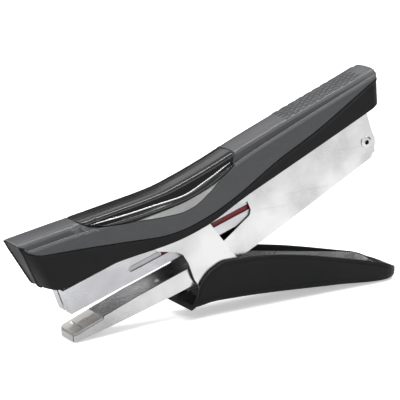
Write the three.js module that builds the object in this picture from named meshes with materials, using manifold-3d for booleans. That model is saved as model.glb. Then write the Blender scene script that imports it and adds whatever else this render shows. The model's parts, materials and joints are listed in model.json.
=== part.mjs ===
// A plier-type hand stapler, standing on its anvil tip and on the rear end of its lower handle.
// Millimetres. X runs along the stapler from the nose (-) to the rear (+), Y across it, Z up.
// Every side outline is drawn in X and Z, with X counted from the anvil tip. The last group moves
// the whole stapler so that the origin lies under the middle of its bounding box.
import * as THREE from "three";
import { mergeVertices } from "three/addons/utils/BufferGeometryUtils.js";
import { LoftGeometry } from "three/addons/geometries/LoftGeometry.js";
import Module from "manifold-3d";

const wasm = await Module();
wasm.setup();

// ---------- sizes across the stapler, from the staple outwards ----------
const crownWidth = 12.9; // outside width of a staple's crown
const staplePlay = 0.15; // each side, staple to magazine wall
const magazineWall = 0.6;
const wallGap = 0.3; // between steel walls that slide past each other
const baseWall = 0.8;
const leverWall = 1.0;
const earWall = 1.0;
const skirtGap = 0.7; // ear to the plastic skirt
const skirtWall = 2.2;
const shellGap = 0.3; // lower lever to its plastic shell
const shellWall = 2.0;

const magazineInner = crownWidth / 2 + staplePlay;
const magazineOuter = magazineInner + magazineWall;
const baseInner = magazineOuter + wallGap;
const baseOuter = baseInner + baseWall;
const leverInner = baseOuter + wallGap;
const leverOuter = leverInner + leverWall;
const earInner = leverOuter + wallGap;
const earOuter = earInner + earWall;
const skirtInner = earOuter + skirtGap;
const handleHalf = skirtInner + skirtWall;
const shellInner = earOuter + shellGap;
const shellHalf = shellInner + shellWall;

// ---------- pivots and travel ----------
const rearPivot = { x: 159.7, z: 70.5 }; // base, magazine and upper lever all turn on it
const drawPivot = { x: 46, z: 46.8 }; // ears of the lower lever on the upper lever
const magazineAngle = 17.1; // slope of the magazine at rest, degrees
const magazineClose = 2.85; // degrees the magazine turns down onto the anvil
const handleClose = 5.35; // degrees the upper handle turns down
const pivotRivetRadius = 2.0;
const pivotHeadRadius = 2.9;
const pivotBore = 1.1;
const drawRivetRadius = 1.6;
const drawHeadRadius = 2.8;
const headHeight = 0.7;
const holePlay = 0.25; // radial play of a rivet in a hole that turns on it

// ---------- anvil arm and base frame ----------
const anvilLength = 15.4;
const anvilPlate = 1.1;
const tipRadius = 2.0;
const clinchReach = 4.6; // tip to the middle of the clinch grooves
const clinchLength = 6.0;
const clinchDepth = 0.5;
const anvilRivetAt = 9.2;
const baseFloor = [
  [0, 0],
  [13.5, 3.0],
  [40, 9.8],
  [62, 16.0],
  [90, 26.2],
  [115, 38.2],
  [163, 62],
];
const towerFront = { x: 95.2, z: 47.2 };

// ---------- upper handle ----------
const noseX = -24.4;
const noseLean = 0.47; // how far the nose face runs back for each millimetre down
const handleRear = 166.5;
const spineHalf = 9.0; // half width of the raised middle of the handle
const shoulderY = 11.6;
const coverThick = 3.6; // under the raised middle, where the inlay's pocket needs it
const coverSide = 2.6;
const spineLine = curveThrough([
  [-26, 50.4],
  [-14, 52.4],
  [7, 55.8],
  [30, 59.6],
  [50, 63.2],
  [64, 67.5],
  [79, 73.0],
  [95, 79.6],
  [117, 88.0],
  [169, 106.8],
]);
const shoulderLine = curveThrough([
  [-26, 47.2],
  [0, 51.4],
  [12, 53.0],
  [28, 54.6],
  [41, 56.2],
  [57, 59.0],
  [70, 63.4],
  [78, 67.6],
  [90, 73.6],
  [117, 84.8],
  [169, 105.2],
]);
const partingLine = curveThrough([
  [-26, 51.6],
  [-23.6, 49.4],
  [-20.5, 46.6],
  [-14, 45.2],
  [3.5, 45.0],
  [27.5, 44.3],
  [44, 43.7],
  [55, 44.8],
  [69, 48.9],
  [83, 55.2],
  [108, 69.9],
  [130, 81.1],
  [157.6, 97.4],
  [170, 104.2],
]);
const skirtLine = curveThrough([
  [-26, 29.4],
  [-13, 28.2],
  [-7, 27.9],
  [2, 30.2],
  [20, 35.2],
  [52, 40.0],
  [69, 45.0],
  [90, 55.3],
  [112, 65.0],
  [143, 78.7],
  [170, 90.8],
]);
const partingGap = 0.3;
const roofDrop = 3.3; // shoulder line down to the top of the steel lever
const bladeWidth = 12.7;
const bladeThick = 0.8;

// ---------- inlay, chrome strips and side crescents ----------
const inlayFront = 7.3;
const inlayRear = 87.6;
const inlayThick = 1.7;
const trimThick = 0.9;
const trimGap = 0.3;
const inlayEdge = curveThrough([
  [6.9, 55.6],
  [12, 53.4],
  [28, 53.1],
  [41, 54.9],
  [57, 57.9],
  [70, 62.3],
  [79, 66.9],
  [85.5, 71.5],
  [88, 77.4],
]);
const crescentEdge = curveThrough([
  [32, 53.2],
  [44, 53.0],
  [54, 53.3],
  [62, 55.1],
  [70, 59.8],
  [78.4, 66.4],
]);
const stripLine = curveThrough([
  [12, 54.3],
  [28, 55.9],
  [42, 57.8],
  [58, 60.2],
  [72, 65.8],
  [84.6, 72.0],
]);
const stripWidth = 1.1;
const crescentFront = 33;
const crescentRear = 77.6;

// ---------- magazine, measured from its front face along its floor ----------
const magazineReach = 169.5; // front face to the rear pivot
const pivotRise = 7.6; // floor underside to the rear pivot
const magazineHeight = 12.2;
const magazineTail = 4.4; // past the rear pivot
const slotWidth = 2.7;
const slotRise = 6.0;
const slotFront = 33.5;
const slotRear = 118;
const seamWidth = 1.6; // gap between the two front lips
const driveSlot = 1.5; // room for one staple and the blade
const railHalf = 5.65;
const railTop = 6.5;
const railWall = 0.8;
const railEnd = 158;
const stapleWire = 0.5;
const stapleTop = 7.3;
const stapleFit = 0.15;
const stripLength = 50;
const pusherLength = 53;
const rodRadius = 0.9;
const rodRise = 9.7;
const springRadius = 1.95; // centre line of the coil
const springWire = 0.45;
const stopFront = 158.6;
const stopLength = 5;

// ---------- lower handle ----------
const shellFront = 58.5;
const shellRear = 175.6;
const footFront = 166;
const footRear = 172.5;
const shellBottom = [
  [63.5, 5.6],
  [72, 6.6],
  [82, 6.4],
  [140, 2.3],
  [footFront, 0],
  [footRear, 0],
];
const shellRim = [
  [170.5, 6.9],
  [166.5, 8.9],
  [161, 10.9],
  [86, 25.9],
  [79, 26.0],
  [71.4, 23.3],
  [65.2, 17.6],
  [61, 8.9],
];
const leverRear = 169.6;
const floorStart = 67;
const bearingPin = { x: 69.6, radius: 1.6 };
const endRadius = 9.0;

const roundParts = 16; // sides of a rivet or hole
const curveParts = 4; // chords in a quarter of a rounded corner

// ---------- materials ----------
const finish = (name, color, roughness, metalness) =>
  new THREE.MeshStandardMaterial({ name, color, roughness, metalness });
const brightSteel = finish("bright_steel", 0xd9dadc, 0.28, 1.0);
const anvilSteel = finish("anvil_steel", 0xbdb9ae, 0.45, 1.0);
const springSteel = finish("spring_steel", 0x8f9499, 0.35, 1.0);
const greyPlastic = finish("grey_plastic", 0x66676b, 0.5, 0.0);
const blackPlastic = finish("black_plastic", 0x1e1f20, 0.45, 0.0);
const glossBlack = finish("gloss_black", 0x101112, 0.12, 0.0);
const chromeTrim = finish("chrome_trim", 0xe6e7e8, 0.12, 1.0);
const silverTrim = finish("silver_trim", 0xb4b6b4, 0.35, 0.6);
const redPlastic = finish("red_plastic", 0x7c1c22, 0.4, 0.0);

// ---------- helpers: curves and outlines ----------

// A function z(x) that passes smoothly through the points without overshooting them.
function curveThrough(points) {
  const rise = points
    .slice(1)
    .map(([x, z], i) => (z - points[i][1]) / (x - points[i][0]));
  const slope = points.map((_, i) => {
    if (i === 0) return rise[0];
    if (i === points.length - 1) return rise[i - 1];
    if (rise[i - 1] * rise[i] <= 0) return 0;
    return (2 * rise[i - 1] * rise[i]) / (rise[i - 1] + rise[i]);
  });
  return (x) => {
    let i = points.findIndex(([px]) => px > x) - 1;
    if (i < 0) i = x < points[0][0] ? 0 : points.length - 2;
    const [x0, z0] = points[i];
    const [x1, z1] = points[i + 1];
    const span = x1 - x0;
    const t = (x - x0) / span;
    if (t < 0) return z0 + slope[i] * (x - x0);
    if (t > 1) return z1 + slope[i + 1] * (x - x1);
    const a = (1 + 2 * t) * (1 - t) * (1 - t) * z0 + t * t * (3 - 2 * t) * z1;
    const b = t * (1 - t) * (1 - t) * slope[i] - t * t * (1 - t) * slope[i + 1];
    return a + span * b;
  };
}

// Points of a curve from one x to another, in count steps, lifted by rise.
function along(curve, from, to, count, rise = 0) {
  return Array.from({ length: count + 1 }, (_, i) => {
    const x = from + ((to - from) * i) / count;
    return [x, curve(x) + rise];
  });
}

// Points of an arc, angles in degrees.
function arc(x, z, radius, from, to, count = curveParts) {
  return Array.from({ length: count + 1 }, (_, i) => {
    const a = THREE.MathUtils.degToRad(from + ((to - from) * i) / count);
    return [x + radius * Math.cos(a), z + radius * Math.sin(a)];
  });
}

// The point (x, z) turned about a centre, degrees, X towards Z.
function turned([x, z], centre, degrees) {
  const a = THREE.MathUtils.degToRad(degrees);
  const dx = x - centre.x;
  const dz = z - centre.z;
  return [
    centre.x + dx * Math.cos(a) - dz * Math.sin(a),
    centre.z + dx * Math.sin(a) + dz * Math.cos(a),
  ];
}

// ---------- helpers: solids ----------
function solidOf(geometry) {
  const bare = new THREE.BufferGeometry();
  bare.setAttribute("position", geometry.getAttribute("position"));
  if (geometry.index) bare.setIndex(geometry.index);
  const merged = mergeVertices(bare, 1e-4);
  return new wasm.Manifold(
    new wasm.Mesh({
      numProp: 3,
      vertProperties: merged.attributes.position.array,
      triVerts: new Uint32Array(merged.index.array),
    }),
  );
}

function shapeOf(points) {
  return new THREE.Shape(points.map(([x, y]) => new THREE.Vector2(x, y)));
}

// A side outline in X and Z, made solid from one Y to another.
function plate(points, fromY, toY) {
  const geometry = new THREE.ExtrudeGeometry(shapeOf(points), {
    depth: toY - fromY,
    bevelEnabled: false,
  });
  geometry.rotateX(Math.PI / 2);
  geometry.translate(0, toY, 0);
  return solidOf(geometry);
}

// The same on both sides of the middle, half is the half width.
const slab = (points, half) => plate(points, -half, half);

// A plan outline in X and Y, made solid from one Z to another.
function post(points, fromZ, toZ, lean = 0) {
  const geometry = new THREE.ExtrudeGeometry(shapeOf(points), {
    depth: toZ - fromZ,
    bevelEnabled: false,
  });
  geometry.translate(0, 0, fromZ);
  if (lean) {
    const shear = new THREE.Matrix4().makeShear(0, 0, 0, 0, -lean, 0);
    geometry.applyMatrix4(shear);
  }
  return solidOf(geometry);
}

function box(x0, x1, y0, y1, z0, z1) {
  const geometry = new THREE.BoxGeometry(x1 - x0, y1 - y0, z1 - z0);
  geometry.translate((x0 + x1) / 2, (y0 + y1) / 2, (z0 + z1) / 2);
  return solidOf(geometry);
}

// A round bar across the stapler.
function crossRod(x, z, radius, fromY, toY, sides = roundParts) {
  const geometry = new THREE.CylinderGeometry(radius, radius, toY - fromY, sides);
  geometry.translate(x, (fromY + toY) / 2, 0);
  geometry.translate(0, 0, z);
  return solidOf(geometry);
}

// A turned solid from (radius, height) pairs, its axis along +Y at first.
function turnedSolid(profile, sides = roundParts) {
  const points = profile.map(([r, h]) => new THREE.Vector2(r, h));
  return new THREE.LatheGeometry(points, sides);
}

// A rivet across the stapler: a shank with a domed head at each end, drilled through if bored.
function crossRivet(x, z, shank, head, fromY, toY, bore = 0) {
  const dome = headHeight;
  const profile = [
    [bore, fromY - dome],
    [head * 0.7, fromY - dome],
    [head, fromY - dome * 0.4],
    [head, fromY],
    [shank, fromY],
    [shank, toY],
    [head, toY],
    [head, toY + dome * 0.4],
    [head * 0.7, toY + dome],
    [bore, toY + dome],
  ];
  if (bore) profile.push([bore, fromY - dome]);
  const geometry = turnedSolid(profile);
  geometry.translate(x, 0, z);
  return solidOf(geometry);
}

// A rivet that stands on a sloping sheet: its foot at (x, z), leaning back by degrees from +Z.
function standingRivet(x, y, z, slope, shank, head, length) {
  const dome = headHeight;
  const geometry = turnedSolid([
    [0, -dome],
    [head * 0.7, -dome],
    [head, 0],
    [shank, 0],
    [shank, length],
    [head, length],
    [head * 0.7, length + dome],
    [0, length + dome],
  ]);
  geometry.rotateX(Math.PI / 2);
  geometry.rotateY(THREE.MathUtils.degToRad(-slope));
  geometry.translate(x, y, z);
  return solidOf(geometry);
}

function standingHole(x, y, z, slope, radius, length) {
  const geometry = new THREE.CylinderGeometry(radius, radius, length, roundParts);
  geometry.rotateX(Math.PI / 2);
  geometry.rotateY(THREE.MathUtils.degToRad(-slope));
  geometry.translate(x, y, z);
  return solidOf(geometry);
}

function meshOf(name, solid, material) {
  const made = solid.getMesh();
  const geometry = new THREE.BufferGeometry();
  const position = new THREE.BufferAttribute(new Float32Array(made.vertProperties), 3);
  geometry.setAttribute("position", position);
  geometry.setIndex(new THREE.BufferAttribute(made.triVerts, 1));
  const flat = geometry.toNonIndexed();
  flat.computeVertexNormals();
  const mesh = new THREE.Mesh(flat, material);
  mesh.name = name;
  return mesh;
}

// ---------- shared lines ----------
const anvilAngle = magazineAngle + magazineClose;
const anvilSlope = Math.tan(THREE.MathUtils.degToRad(anvilAngle));
const paperGap = 0.35; // closed magazine to anvil
const seatGap = 0.15; // between fixed pieces that sit on each other
const anvilTop =
  rearPivot.z -
  (pivotRise + paperGap) / Math.cos(THREE.MathUtils.degToRad(anvilAngle)) -
  anvilSlope * rearPivot.x;
const anvilLine = (x) => anvilTop + anvilSlope * x;
const baseLine = curveThrough(baseFloor);
const shellLine = curveThrough([[shellFront, 5.2], ...shellBottom]);
const roofLine = (x) => shoulderLine(x) - roofDrop;
const strokeAngle = handleClose - magazineClose; // blade against magazine
const stroke = THREE.MathUtils.degToRad(strokeAngle) * magazineReach;
const bladeAngle = magazineAngle - strokeAngle / 2; // square to the magazine half way down
const bladeAt = magazineWall + (driveSlot - bladeThick) / 2;
const tabAt = bladeAt + bladeThick + seatGap;
const tabBottom = magazineHeight + stroke / 2 + wallGap;
const farOff = 260;
const high = 140;

// A point of the magazine's own frame (along, up) turned with the rear pivot at an angle.
const fromPivot = (s, h, angle) =>
  turned([rearPivot.x + s - magazineReach, rearPivot.z + h - pivotRise], rearPivot, angle);

// Places a geometry drawn in the magazine's own frame where that angle carries it.
function atAngle(geometry, angle) {
  const [x, z] = fromPivot(0, 0, angle);
  geometry.rotateY(THREE.MathUtils.degToRad(-angle));
  geometry.translate(x, 0, z);
  return geometry;
}

// ---------- base: anvil arm and tower in one folded channel ----------
const liftRivetAt = 141;
const liftSlope = 26.4;
const tipPlan = [
  ...arc(tipRadius, -baseOuter + tipRadius, tipRadius, 270, 180),
  ...arc(tipRadius, baseOuter - tipRadius, tipRadius, 180, 90),
  [farOff, baseOuter],
  [farOff, -baseOuter],
];
const tipPost = post(tipPlan, -5, high);

function baseChannel() {
  const plateSeat = anvilPlate + seatGap;
  const outline = [
    ...along(baseLine, 0, 163, 18),
    [165, 66],
    ...arc(rearPivot.x, rearPivot.z, 6.1, -10, 90),
    [130, 66.0],
    [101, 58.2],
    ...arc(98.6, 52.6, 5.2, 110, 180),
    [towerFront.x - 1.2, 50.5],
    [towerFront.x, towerFront.z],
    [towerFront.x - 0.8, 44.6],
    [80, 34.6],
    [60, 24.4],
    [33, 15.9],
    [anvilLength, anvilLine(anvilLength)],
    [anvilLength, anvilLine(anvilLength) - plateSeat],
    [0, anvilLine(0) - plateSeat],
  ];
  const hollow = [
    [baseWall, baseLine(baseWall) + baseWall],
    ...along(baseLine, 163 / 18, 163, 17, baseWall),
    [175, baseLine(175) + baseWall],
    [175, high],
    [baseWall, high],
  ];
  return slab(outline, baseOuter)
    .subtract(slab(hollow, baseInner))
    .intersect(tipPost)
    .subtract(crossRod(rearPivot.x, rearPivot.z, pivotRivetRadius + seatGap, -20, 20))
    .subtract(standingHole(54.6, 0, baseLine(54.6), 14, 1.7, 6))
    .subtract(standingHole(anvilRivetAt, 0, anvilLine(anvilRivetAt), anvilAngle, 1.3 + seatGap, 16))
    .subtract(standingHole(liftRivetAt, 0, baseLine(liftRivetAt), liftSlope, 1.1 + seatGap, 6));
}

function anvilPlateSolid() {
  const outline = [
    [0, anvilLine(0) - anvilPlate],
    [anvilLength - wallGap, anvilLine(anvilLength - wallGap) - anvilPlate],
    [anvilLength - wallGap, anvilLine(anvilLength - wallGap)],
    [0, anvilLine(0)],
  ];
  const grooveRadius = (clinchLength * clinchLength) / 8 / clinchDepth + clinchDepth / 2;
  let solid = slab(outline, baseOuter).intersect(tipPost);
  for (const side of [-1, 1]) {
    const groove = new THREE.CylinderGeometry(grooveRadius, grooveRadius, 1.5, 72);
    groove.rotateZ(Math.PI / 2);
    groove.translate(0, 0, grooveRadius - clinchDepth);
    groove.rotateY(THREE.MathUtils.degToRad(-anvilAngle));
    groove.translate(clinchReach, side * 3.4, anvilLine(clinchReach));
    solid = solid.subtract(solidOf(groove));
  }
  return solid.subtract(
    standingHole(anvilRivetAt, 0, anvilLine(anvilRivetAt), anvilAngle, 1.3 + seatGap, 16),
  );
}

function anvilRivet() {
  const slope = THREE.MathUtils.degToRad(anvilAngle);
  const foot = baseLine(anvilRivetAt + 1.4) - 0.5;
  const length = (anvilLine(anvilRivetAt) - foot) / Math.cos(slope);
  const geometry = turnedSolid([
    [0, -headHeight],
    [1.4, -headHeight],
    [2.0, -0.2],
    [2.0, 0],
    [1.3, 0],
    [1.3, length],
    [0, length],
  ]);
  geometry.rotateX(Math.PI / 2);
  geometry.translate(0, 0, -length);
  geometry.rotateY(-slope);
  geometry.translate(anvilRivetAt, 0, anvilLine(anvilRivetAt) - 0.05);
  return solidOf(geometry);
}

// A leaf spring along the middle: its path in X and Z, a width and a thickness.
function leaf(path, width, thickness) {
  const upper = path.map(([x, z]) => [x, z + thickness]).reverse();
  return slab([...path, ...upper], width / 2);
}

const leafThick = 0.5;
const liftTip = 105;
const magazineUnder = (x) => {
  const [x0, z0] = fromPivot(0, 0, magazineAngle);
  return z0 + (x - x0) * Math.tan(THREE.MathUtils.degToRad(magazineAngle));
};

function liftSpring() {
  const rest = baseWall + seatGap;
  const path = [
    [liftTip - 2.5, magazineUnder(liftTip) - 2.4],
    [liftTip, magazineUnder(liftTip) - leafThick - 0.4],
    [liftTip + 3, magazineUnder(liftTip) - leafThick - 0.4],
    [133, baseLine(133) + rest + 0.4],
    [136, baseLine(136) + rest],
    [146, baseLine(146) + rest],
  ];
  return leaf(path, 9, leafThick).subtract(
    standingHole(liftRivetAt, 0, baseLine(liftRivetAt), liftSlope, 1.1 + seatGap, 8),
  );
}

// ---------- upper handle: outer skin as a loft ----------
const stationStep = 6.4;
const loftFrom = noseX - 3;
const loftTo = handleRear + 2;

function halfSection(x) {
  const top = spineLine(x);
  const ridge = shoulderLine(x);
  const edge = top - 1.3;
  const furrow = Math.min(ridge - 0.5 + Math.max(0, (edge - ridge - 3) * 1.1), edge - 0.6);
  return [
    [0, top],
    [4.8, top - 0.12],
    [7.6, top - 0.5],
    [spineHalf, edge],
    [10.3, furrow],
    [shoulderY - 0.5, ridge - 0.05],
    [shoulderY + 0.6, ridge - 0.3],
    [handleHalf - 0.7, ridge - 1.7],
    [handleHalf, ridge - 4.8],
    [handleHalf, 0],
  ];
}

// The handle's skin taken in by one amount from above and another from the side.
function handleSkin(drop, dropSide, inset) {
  const count = Math.round((loftTo - loftFrom) / stationStep);
  const sections = Array.from({ length: count + 1 }, (_, i) => {
    const x = loftFrom + ((loftTo - loftFrom) * i) / count;
    const half = halfSection(x).map(([y, z]) => [
      (y * (handleHalf - inset)) / handleHalf,
      z === 0 ? 0 : z - (y <= spineHalf ? drop : dropSide),
    ]);
    const right = [...half].reverse().map(([y, z]) => new THREE.Vector3(x, y, z));
    const left = half.slice(1).map(([y, z]) => new THREE.Vector3(x, -y, z));
    return [...right, ...left];
  });
  return solidOf(new LoftGeometry(sections, { capStart: true, capEnd: true }));
}

// Plan of the nose and rear ends, the nose face leaning back towards its foot.
function endsPost(inset) {
  const nose = noseX + inset + noseLean * spineLine(noseX);
  const rear = handleRear - inset;
  const plan = [
    [nose, -5.5],
    [nose + 1.0, -9.2],
    [nose + 3.2, -12.4],
    [nose + 7, -handleHalf - 1],
    [farOff, -handleHalf - 1],
    [farOff, handleHalf + 1],
    [nose + 7, handleHalf + 1],
    [nose + 3.2, 12.4],
    [nose + 1.0, 9.2],
    [nose, 5.5],
  ];
  const corner = 5;
  const rearPlan = [
    [-80, -handleHalf - 1],
    ...arc(rear - corner, -handleHalf + inset + corner, corner, 270, 360),
    ...arc(rear - corner, handleHalf - inset - corner, corner, 0, 90),
    [-80, handleHalf + 1],
  ];
  return post(plan, -1, high, noseLean).intersect(post(rearPlan, -1, high));
}

const wholeHandle = handleSkin(0, 0, 0).intersect(endsPost(0));
const handleCavity = handleSkin(coverThick, coverSide, skirtWall).intersect(endsPost(skirtWall));
const handleWall = wholeHandle.subtract(handleCavity);
const abovePart = [
  ...along(partingLine, -40, 190, 42, partingGap / 2),
  [190, high + 40],
  [-40, high + 40],
];
const skirtBand = [
  ...along(skirtLine, -40, 190, 42),
  ...along(partingLine, -40, 190, 42, -partingGap / 2).reverse(),
];

// The outermost layer of the handle, as thick as asked, and the pocket that a trim sinks into.
const outerLayer = (thickness) => wholeHandle.subtract(handleSkin(thickness, thickness, thickness));

function pocket(zone, thickness) {
  const depth = thickness + trimGap;
  return zone.subtract(handleSkin(depth, depth, depth));
}

function inlayZone(grow) {
  const front = inlayFront - grow;
  const rear = inlayRear + grow;
  return slab(
    [...along(inlayEdge, front, rear, 20, -grow), [rear, high], [front, high]],
    farOff,
  );
}

function stripZone(grow) {
  const low = -stripWidth / 2 - grow;
  return slab(
    [
      ...along(stripLine, 12 - grow, 84.6 + grow, 16, low),
      ...along(stripLine, 12 - grow, 84.6 + grow, 16, -low).reverse(),
    ],
    farOff,
  );
}

function crescentZone(grow) {
  const lower = along(crescentEdge, crescentFront - grow, crescentRear + grow, 14, -grow);
  const upper = lower.map(([x, z]) => [x, Math.max(inlayEdge(x) - trimGap + grow, z + 0.3)]);
  return slab([...lower, ...upper.reverse()], farOff);
}

const screwAt = [0, 141];
const screwRadius = 1.3;
const screwLength = 5.4;
const roofSlope = (x) => THREE.MathUtils.radToDeg(Math.atan2(roofLine(x + 1) - roofLine(x - 1), 2));
const screwHole = (x) =>
  standingHole(x, 0, roofLine(x), roofSlope(x), screwRadius + seatGap, screwLength * 2 - 1.6);

function topCover() {
  let solid = handleWall.intersect(slab(abovePart, farOff));
  for (const x of screwAt) {
    const boss = new THREE.CylinderGeometry(3.4, 3.4, 8, roundParts);
    boss.rotateX(Math.PI / 2);
    boss.translate(x, 0, roofLine(x) + seatGap + 4.6);
    const room = [
      ...along(roofLine, x - 6, x + 6, 4, seatGap + 0.1),
      ...along(spineLine, x - 6, x + 6, 4, -2).reverse(),
    ];
    solid = solid.add(solidOf(boss).intersect(slab(room, 5)));
    solid = solid.subtract(screwHole(x));
  }
  return solid
    .subtract(pocket(inlayZone(trimGap), inlayThick))
    .subtract(pocket(crescentZone(trimGap), trimThick));
}

const sideSkirt = () => handleWall.intersect(slab(skirtBand, farOff));

const inlayPanel = () =>
  outerLayer(inlayThick)
    .intersect(inlayZone(0))
    .subtract(pocket(stripZone(trimGap), trimThick));

const sideBox = (side) =>
  side < 0 ? box(-50, farOff, -farOff, -1, -1, high) : box(-50, farOff, 1, farOff, -1, high);
const chromeStrip = (side) =>
  outerLayer(trimThick).intersect(stripZone(0)).intersect(sideBox(side));
const crescent = (side) =>
  outerLayer(trimThick).intersect(crescentZone(0)).intersect(sideBox(side));

// ---------- upper handle: steel lever, blade and rivets ----------
const bladeRivetRise = 21.5;
const bladeRivetY = 3.8;

function bladeHoles(radius, angle) {
  return [-bladeRivetY, bladeRivetY].map((y) => {
    const geometry = new THREE.CylinderGeometry(radius, radius, 8, roundParts);
    geometry.rotateZ(Math.PI / 2);
    geometry.translate(bladeAt + 1, y, bladeRivetRise);
    return solidOf(angle === undefined ? geometry : atAngle(geometry, angle));
  });
}

function upperLever() {
  const frontLow = fromPivot(tabAt, 11.0, bladeAngle);
  const frontHigh = fromPivot(tabAt, 30.6, bladeAngle);
  const tabInnerLow = fromPivot(tabAt + leverWall, tabBottom, bladeAngle);
  const tabInnerHigh = fromPivot(tabAt + leverWall, 29.6, bladeAngle);
  const tabFrontLow = fromPivot(tabAt - 3, tabBottom, bladeAngle);
  const outline = [
    frontLow,
    [5, 32.2],
    [20, 37.0],
    [52, 42.0],
    [70, 47.4],
    [80, 51.6],
    [86, 52.6],
    [90, 51.3],
    [110.9, 55.5],
    [122, 57.8],
    [144.6, 62.4],
    [162.3, 65.4],
    [164.1, 68.0],
    [164.6, 70.8],
    [161, 83.8],
    [157.6, 93.2],
    ...along(roofLine, frontHigh[0] + 0.4, 155.6, 24).reverse(),
    frontHigh,
  ];
  const hollow = [
    [-60, -5],
    [farOff, -5],
    [farOff, high],
    ...along(roofLine, tabInnerHigh[0] + 1.2, 175, 26, -leverWall).reverse(),
    tabInnerHigh,
    tabInnerLow,
    tabFrontLow,
    [-60, tabFrontLow[1]],
  ];
  let solid = slab(outline, leverOuter).subtract(slab(hollow, leverInner));
  solid = solid.subtract(
    crossRod(rearPivot.x, rearPivot.z, pivotRivetRadius + holePlay, -20, 20),
  );
  solid = solid.subtract(crossRod(drawPivot.x, drawPivot.z, drawRivetRadius + seatGap, -20, 20));
  for (const hole of bladeHoles(1.1 + seatGap, bladeAngle)) solid = solid.subtract(hole);
  for (const x of screwAt) solid = solid.subtract(screwHole(x));
  return solid;
}

function driverBlade() {
  let solid = box(
    bladeAt,
    bladeAt + bladeThick,
    -bladeWidth / 2,
    bladeWidth / 2,
    stroke / 2 + 0.1,
    29.0,
  );
  for (const hole of bladeHoles(1.1 + seatGap)) solid = solid.subtract(hole);
  return solid;
}

function bladeRivet(side) {
  const reach = bladeThick + leverWall + seatGap;
  const geometry = turnedSolid([
    [0, -0.6],
    [1.3, -0.6],
    [2.0, -0.1],
    [2.0, 0],
    [1.1, 0],
    [1.1, reach + 0.1],
    [2.0, reach + 0.1],
    [2.0, reach + 0.2],
    [1.3, reach + 0.7],
    [0, reach + 0.7],
  ]);
  geometry.rotateZ(-Math.PI / 2);
  geometry.translate(bladeAt - 0.05, side * bladeRivetY, bladeRivetRise);
  return solidOf(geometry);
}

function coverScrew(x) {
  const geometry = turnedSolid([
    [0, -1.4],
    [2.2, -1.4],
    [2.6, -0.7],
    [2.6, 0],
    [screwRadius, 0],
    [screwRadius, screwLength - 1],
    [0.4, screwLength],
    [0, screwLength],
  ]);
  geometry.rotateX(Math.PI / 2);
  geometry.translate(0, 0, -leverWall - seatGap);
  geometry.rotateY(THREE.MathUtils.degToRad(-roofSlope(x)));
  geometry.translate(x, 0, roofLine(x));
  return solidOf(geometry);
}

function drawRivet(side) {
  const inner = leverInner - seatGap;
  const outer = earOuter + seatGap;
  const profile = [
    [0, inner - 0.5],
    [drawHeadRadius * 0.8, inner - 0.5],
    [drawHeadRadius, inner - 0.2],
    [drawHeadRadius, inner],
    [drawRivetRadius, inner],
    [drawRivetRadius, outer],
    [drawHeadRadius, outer],
    [drawHeadRadius, outer + 0.1],
    [drawHeadRadius * 0.8, outer + 0.3],
    [0, outer + 0.3],
  ];
  const geometry = turnedSolid(profile);
  if (side < 0) geometry.rotateZ(Math.PI);
  geometry.translate(drawPivot.x, 0, drawPivot.z);
  return solidOf(geometry);
}

// ---------- magazine, in its own frame: X along its floor, Z square to it ----------
function obround(s0, s1, h, width) {
  const r = width / 2;
  return [...arc(s0 + r, h, r, 270, 90), ...arc(s1 - r, h, r, 90, -90)];
}

const railFeet = [17, 142];
const railRivetRadius = 1.0;

function magazineChannel() {
  const end = magazineReach + magazineTail;
  let solid = box(0, end, -magazineOuter, magazineOuter, 0, magazineHeight)
    .subtract(box(magazineWall, end + 9, -magazineInner, magazineInner, magazineWall, 30))
    .subtract(
      box(magazineWall, magazineWall + driveSlot, -magazineInner, magazineInner, -1, 1.2),
    )
    .subtract(box(-1, magazineWall + 0.1, -seamWidth / 2, seamWidth / 2, -1, 30))
    .subtract(plate(obround(slotFront, slotRear, slotRise, slotWidth), -farOff, farOff))
    .subtract(crossRod(magazineReach, pivotRise, pivotRivetRadius + holePlay, -20, 20));
  for (const s of [...railFeet, stopFront + stopLength / 2]) {
    solid = solid.subtract(standingHole(s, 0, 0, 0, railRivetRadius + seatGap, 4));
  }
  return solid;
}

function stapleRail() {
  const start = magazineWall + driveSlot + seatGap;
  const foot = magazineWall + seatGap;
  const inside = railHalf - railWall;
  let solid = box(start, railEnd, -railHalf, railHalf, foot, railTop).subtract(
    box(start - 1, railEnd + 1, -inside, inside, 0, railTop - railWall),
  );
  for (const s of railFeet) {
    solid = solid.add(box(s - 4, s + 4, -inside - 0.1, inside + 0.1, foot, foot + railWall));
    solid = solid.subtract(standingHole(s, 0, foot, 0, railRivetRadius + seatGap, 3));
  }
  return solid;
}

// A short rivet that holds something down on the magazine's floor.
const floorRivet = (s, length) =>
  standingRivet(s, 0, -seatGap, 0, railRivetRadius, 1.9, length + seatGap);

function stapleStrip() {
  const start = magazineWall + stapleFit;
  const half = crownWidth / 2;
  return box(start, start + stripLength, -half, half, magazineWall + 0.2, stapleTop).subtract(
    box(
      start - 1,
      start + stripLength + 1,
      -half + stapleWire,
      half - stapleWire,
      0,
      stapleTop - stapleWire,
    ),
  );
}

const pusherStart = magazineWall + stapleFit * 2 + stripLength;
const faceThick = 0.6;
const saddleHalf = magazineInner - 0.2;
const saddleInner = railHalf + 0.2;
const saddleTop = rodRise - springRadius - springWire / 2 - 0.25;

function saddle(from, to, low, top) {
  return box(from, to, -saddleHalf, saddleHalf, low, top).subtract(
    box(from - 1, to + 1, -saddleInner, saddleInner, low - 1, railTop + 0.15),
  );
}

const rodHole = (from, to, radius) => {
  const geometry = new THREE.CylinderGeometry(radius, radius, to - from, roundParts);
  geometry.rotateZ(Math.PI / 2);
  geometry.translate((from + to) / 2, 0, rodRise);
  return solidOf(geometry);
};

const pusherHead = 11;

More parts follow.
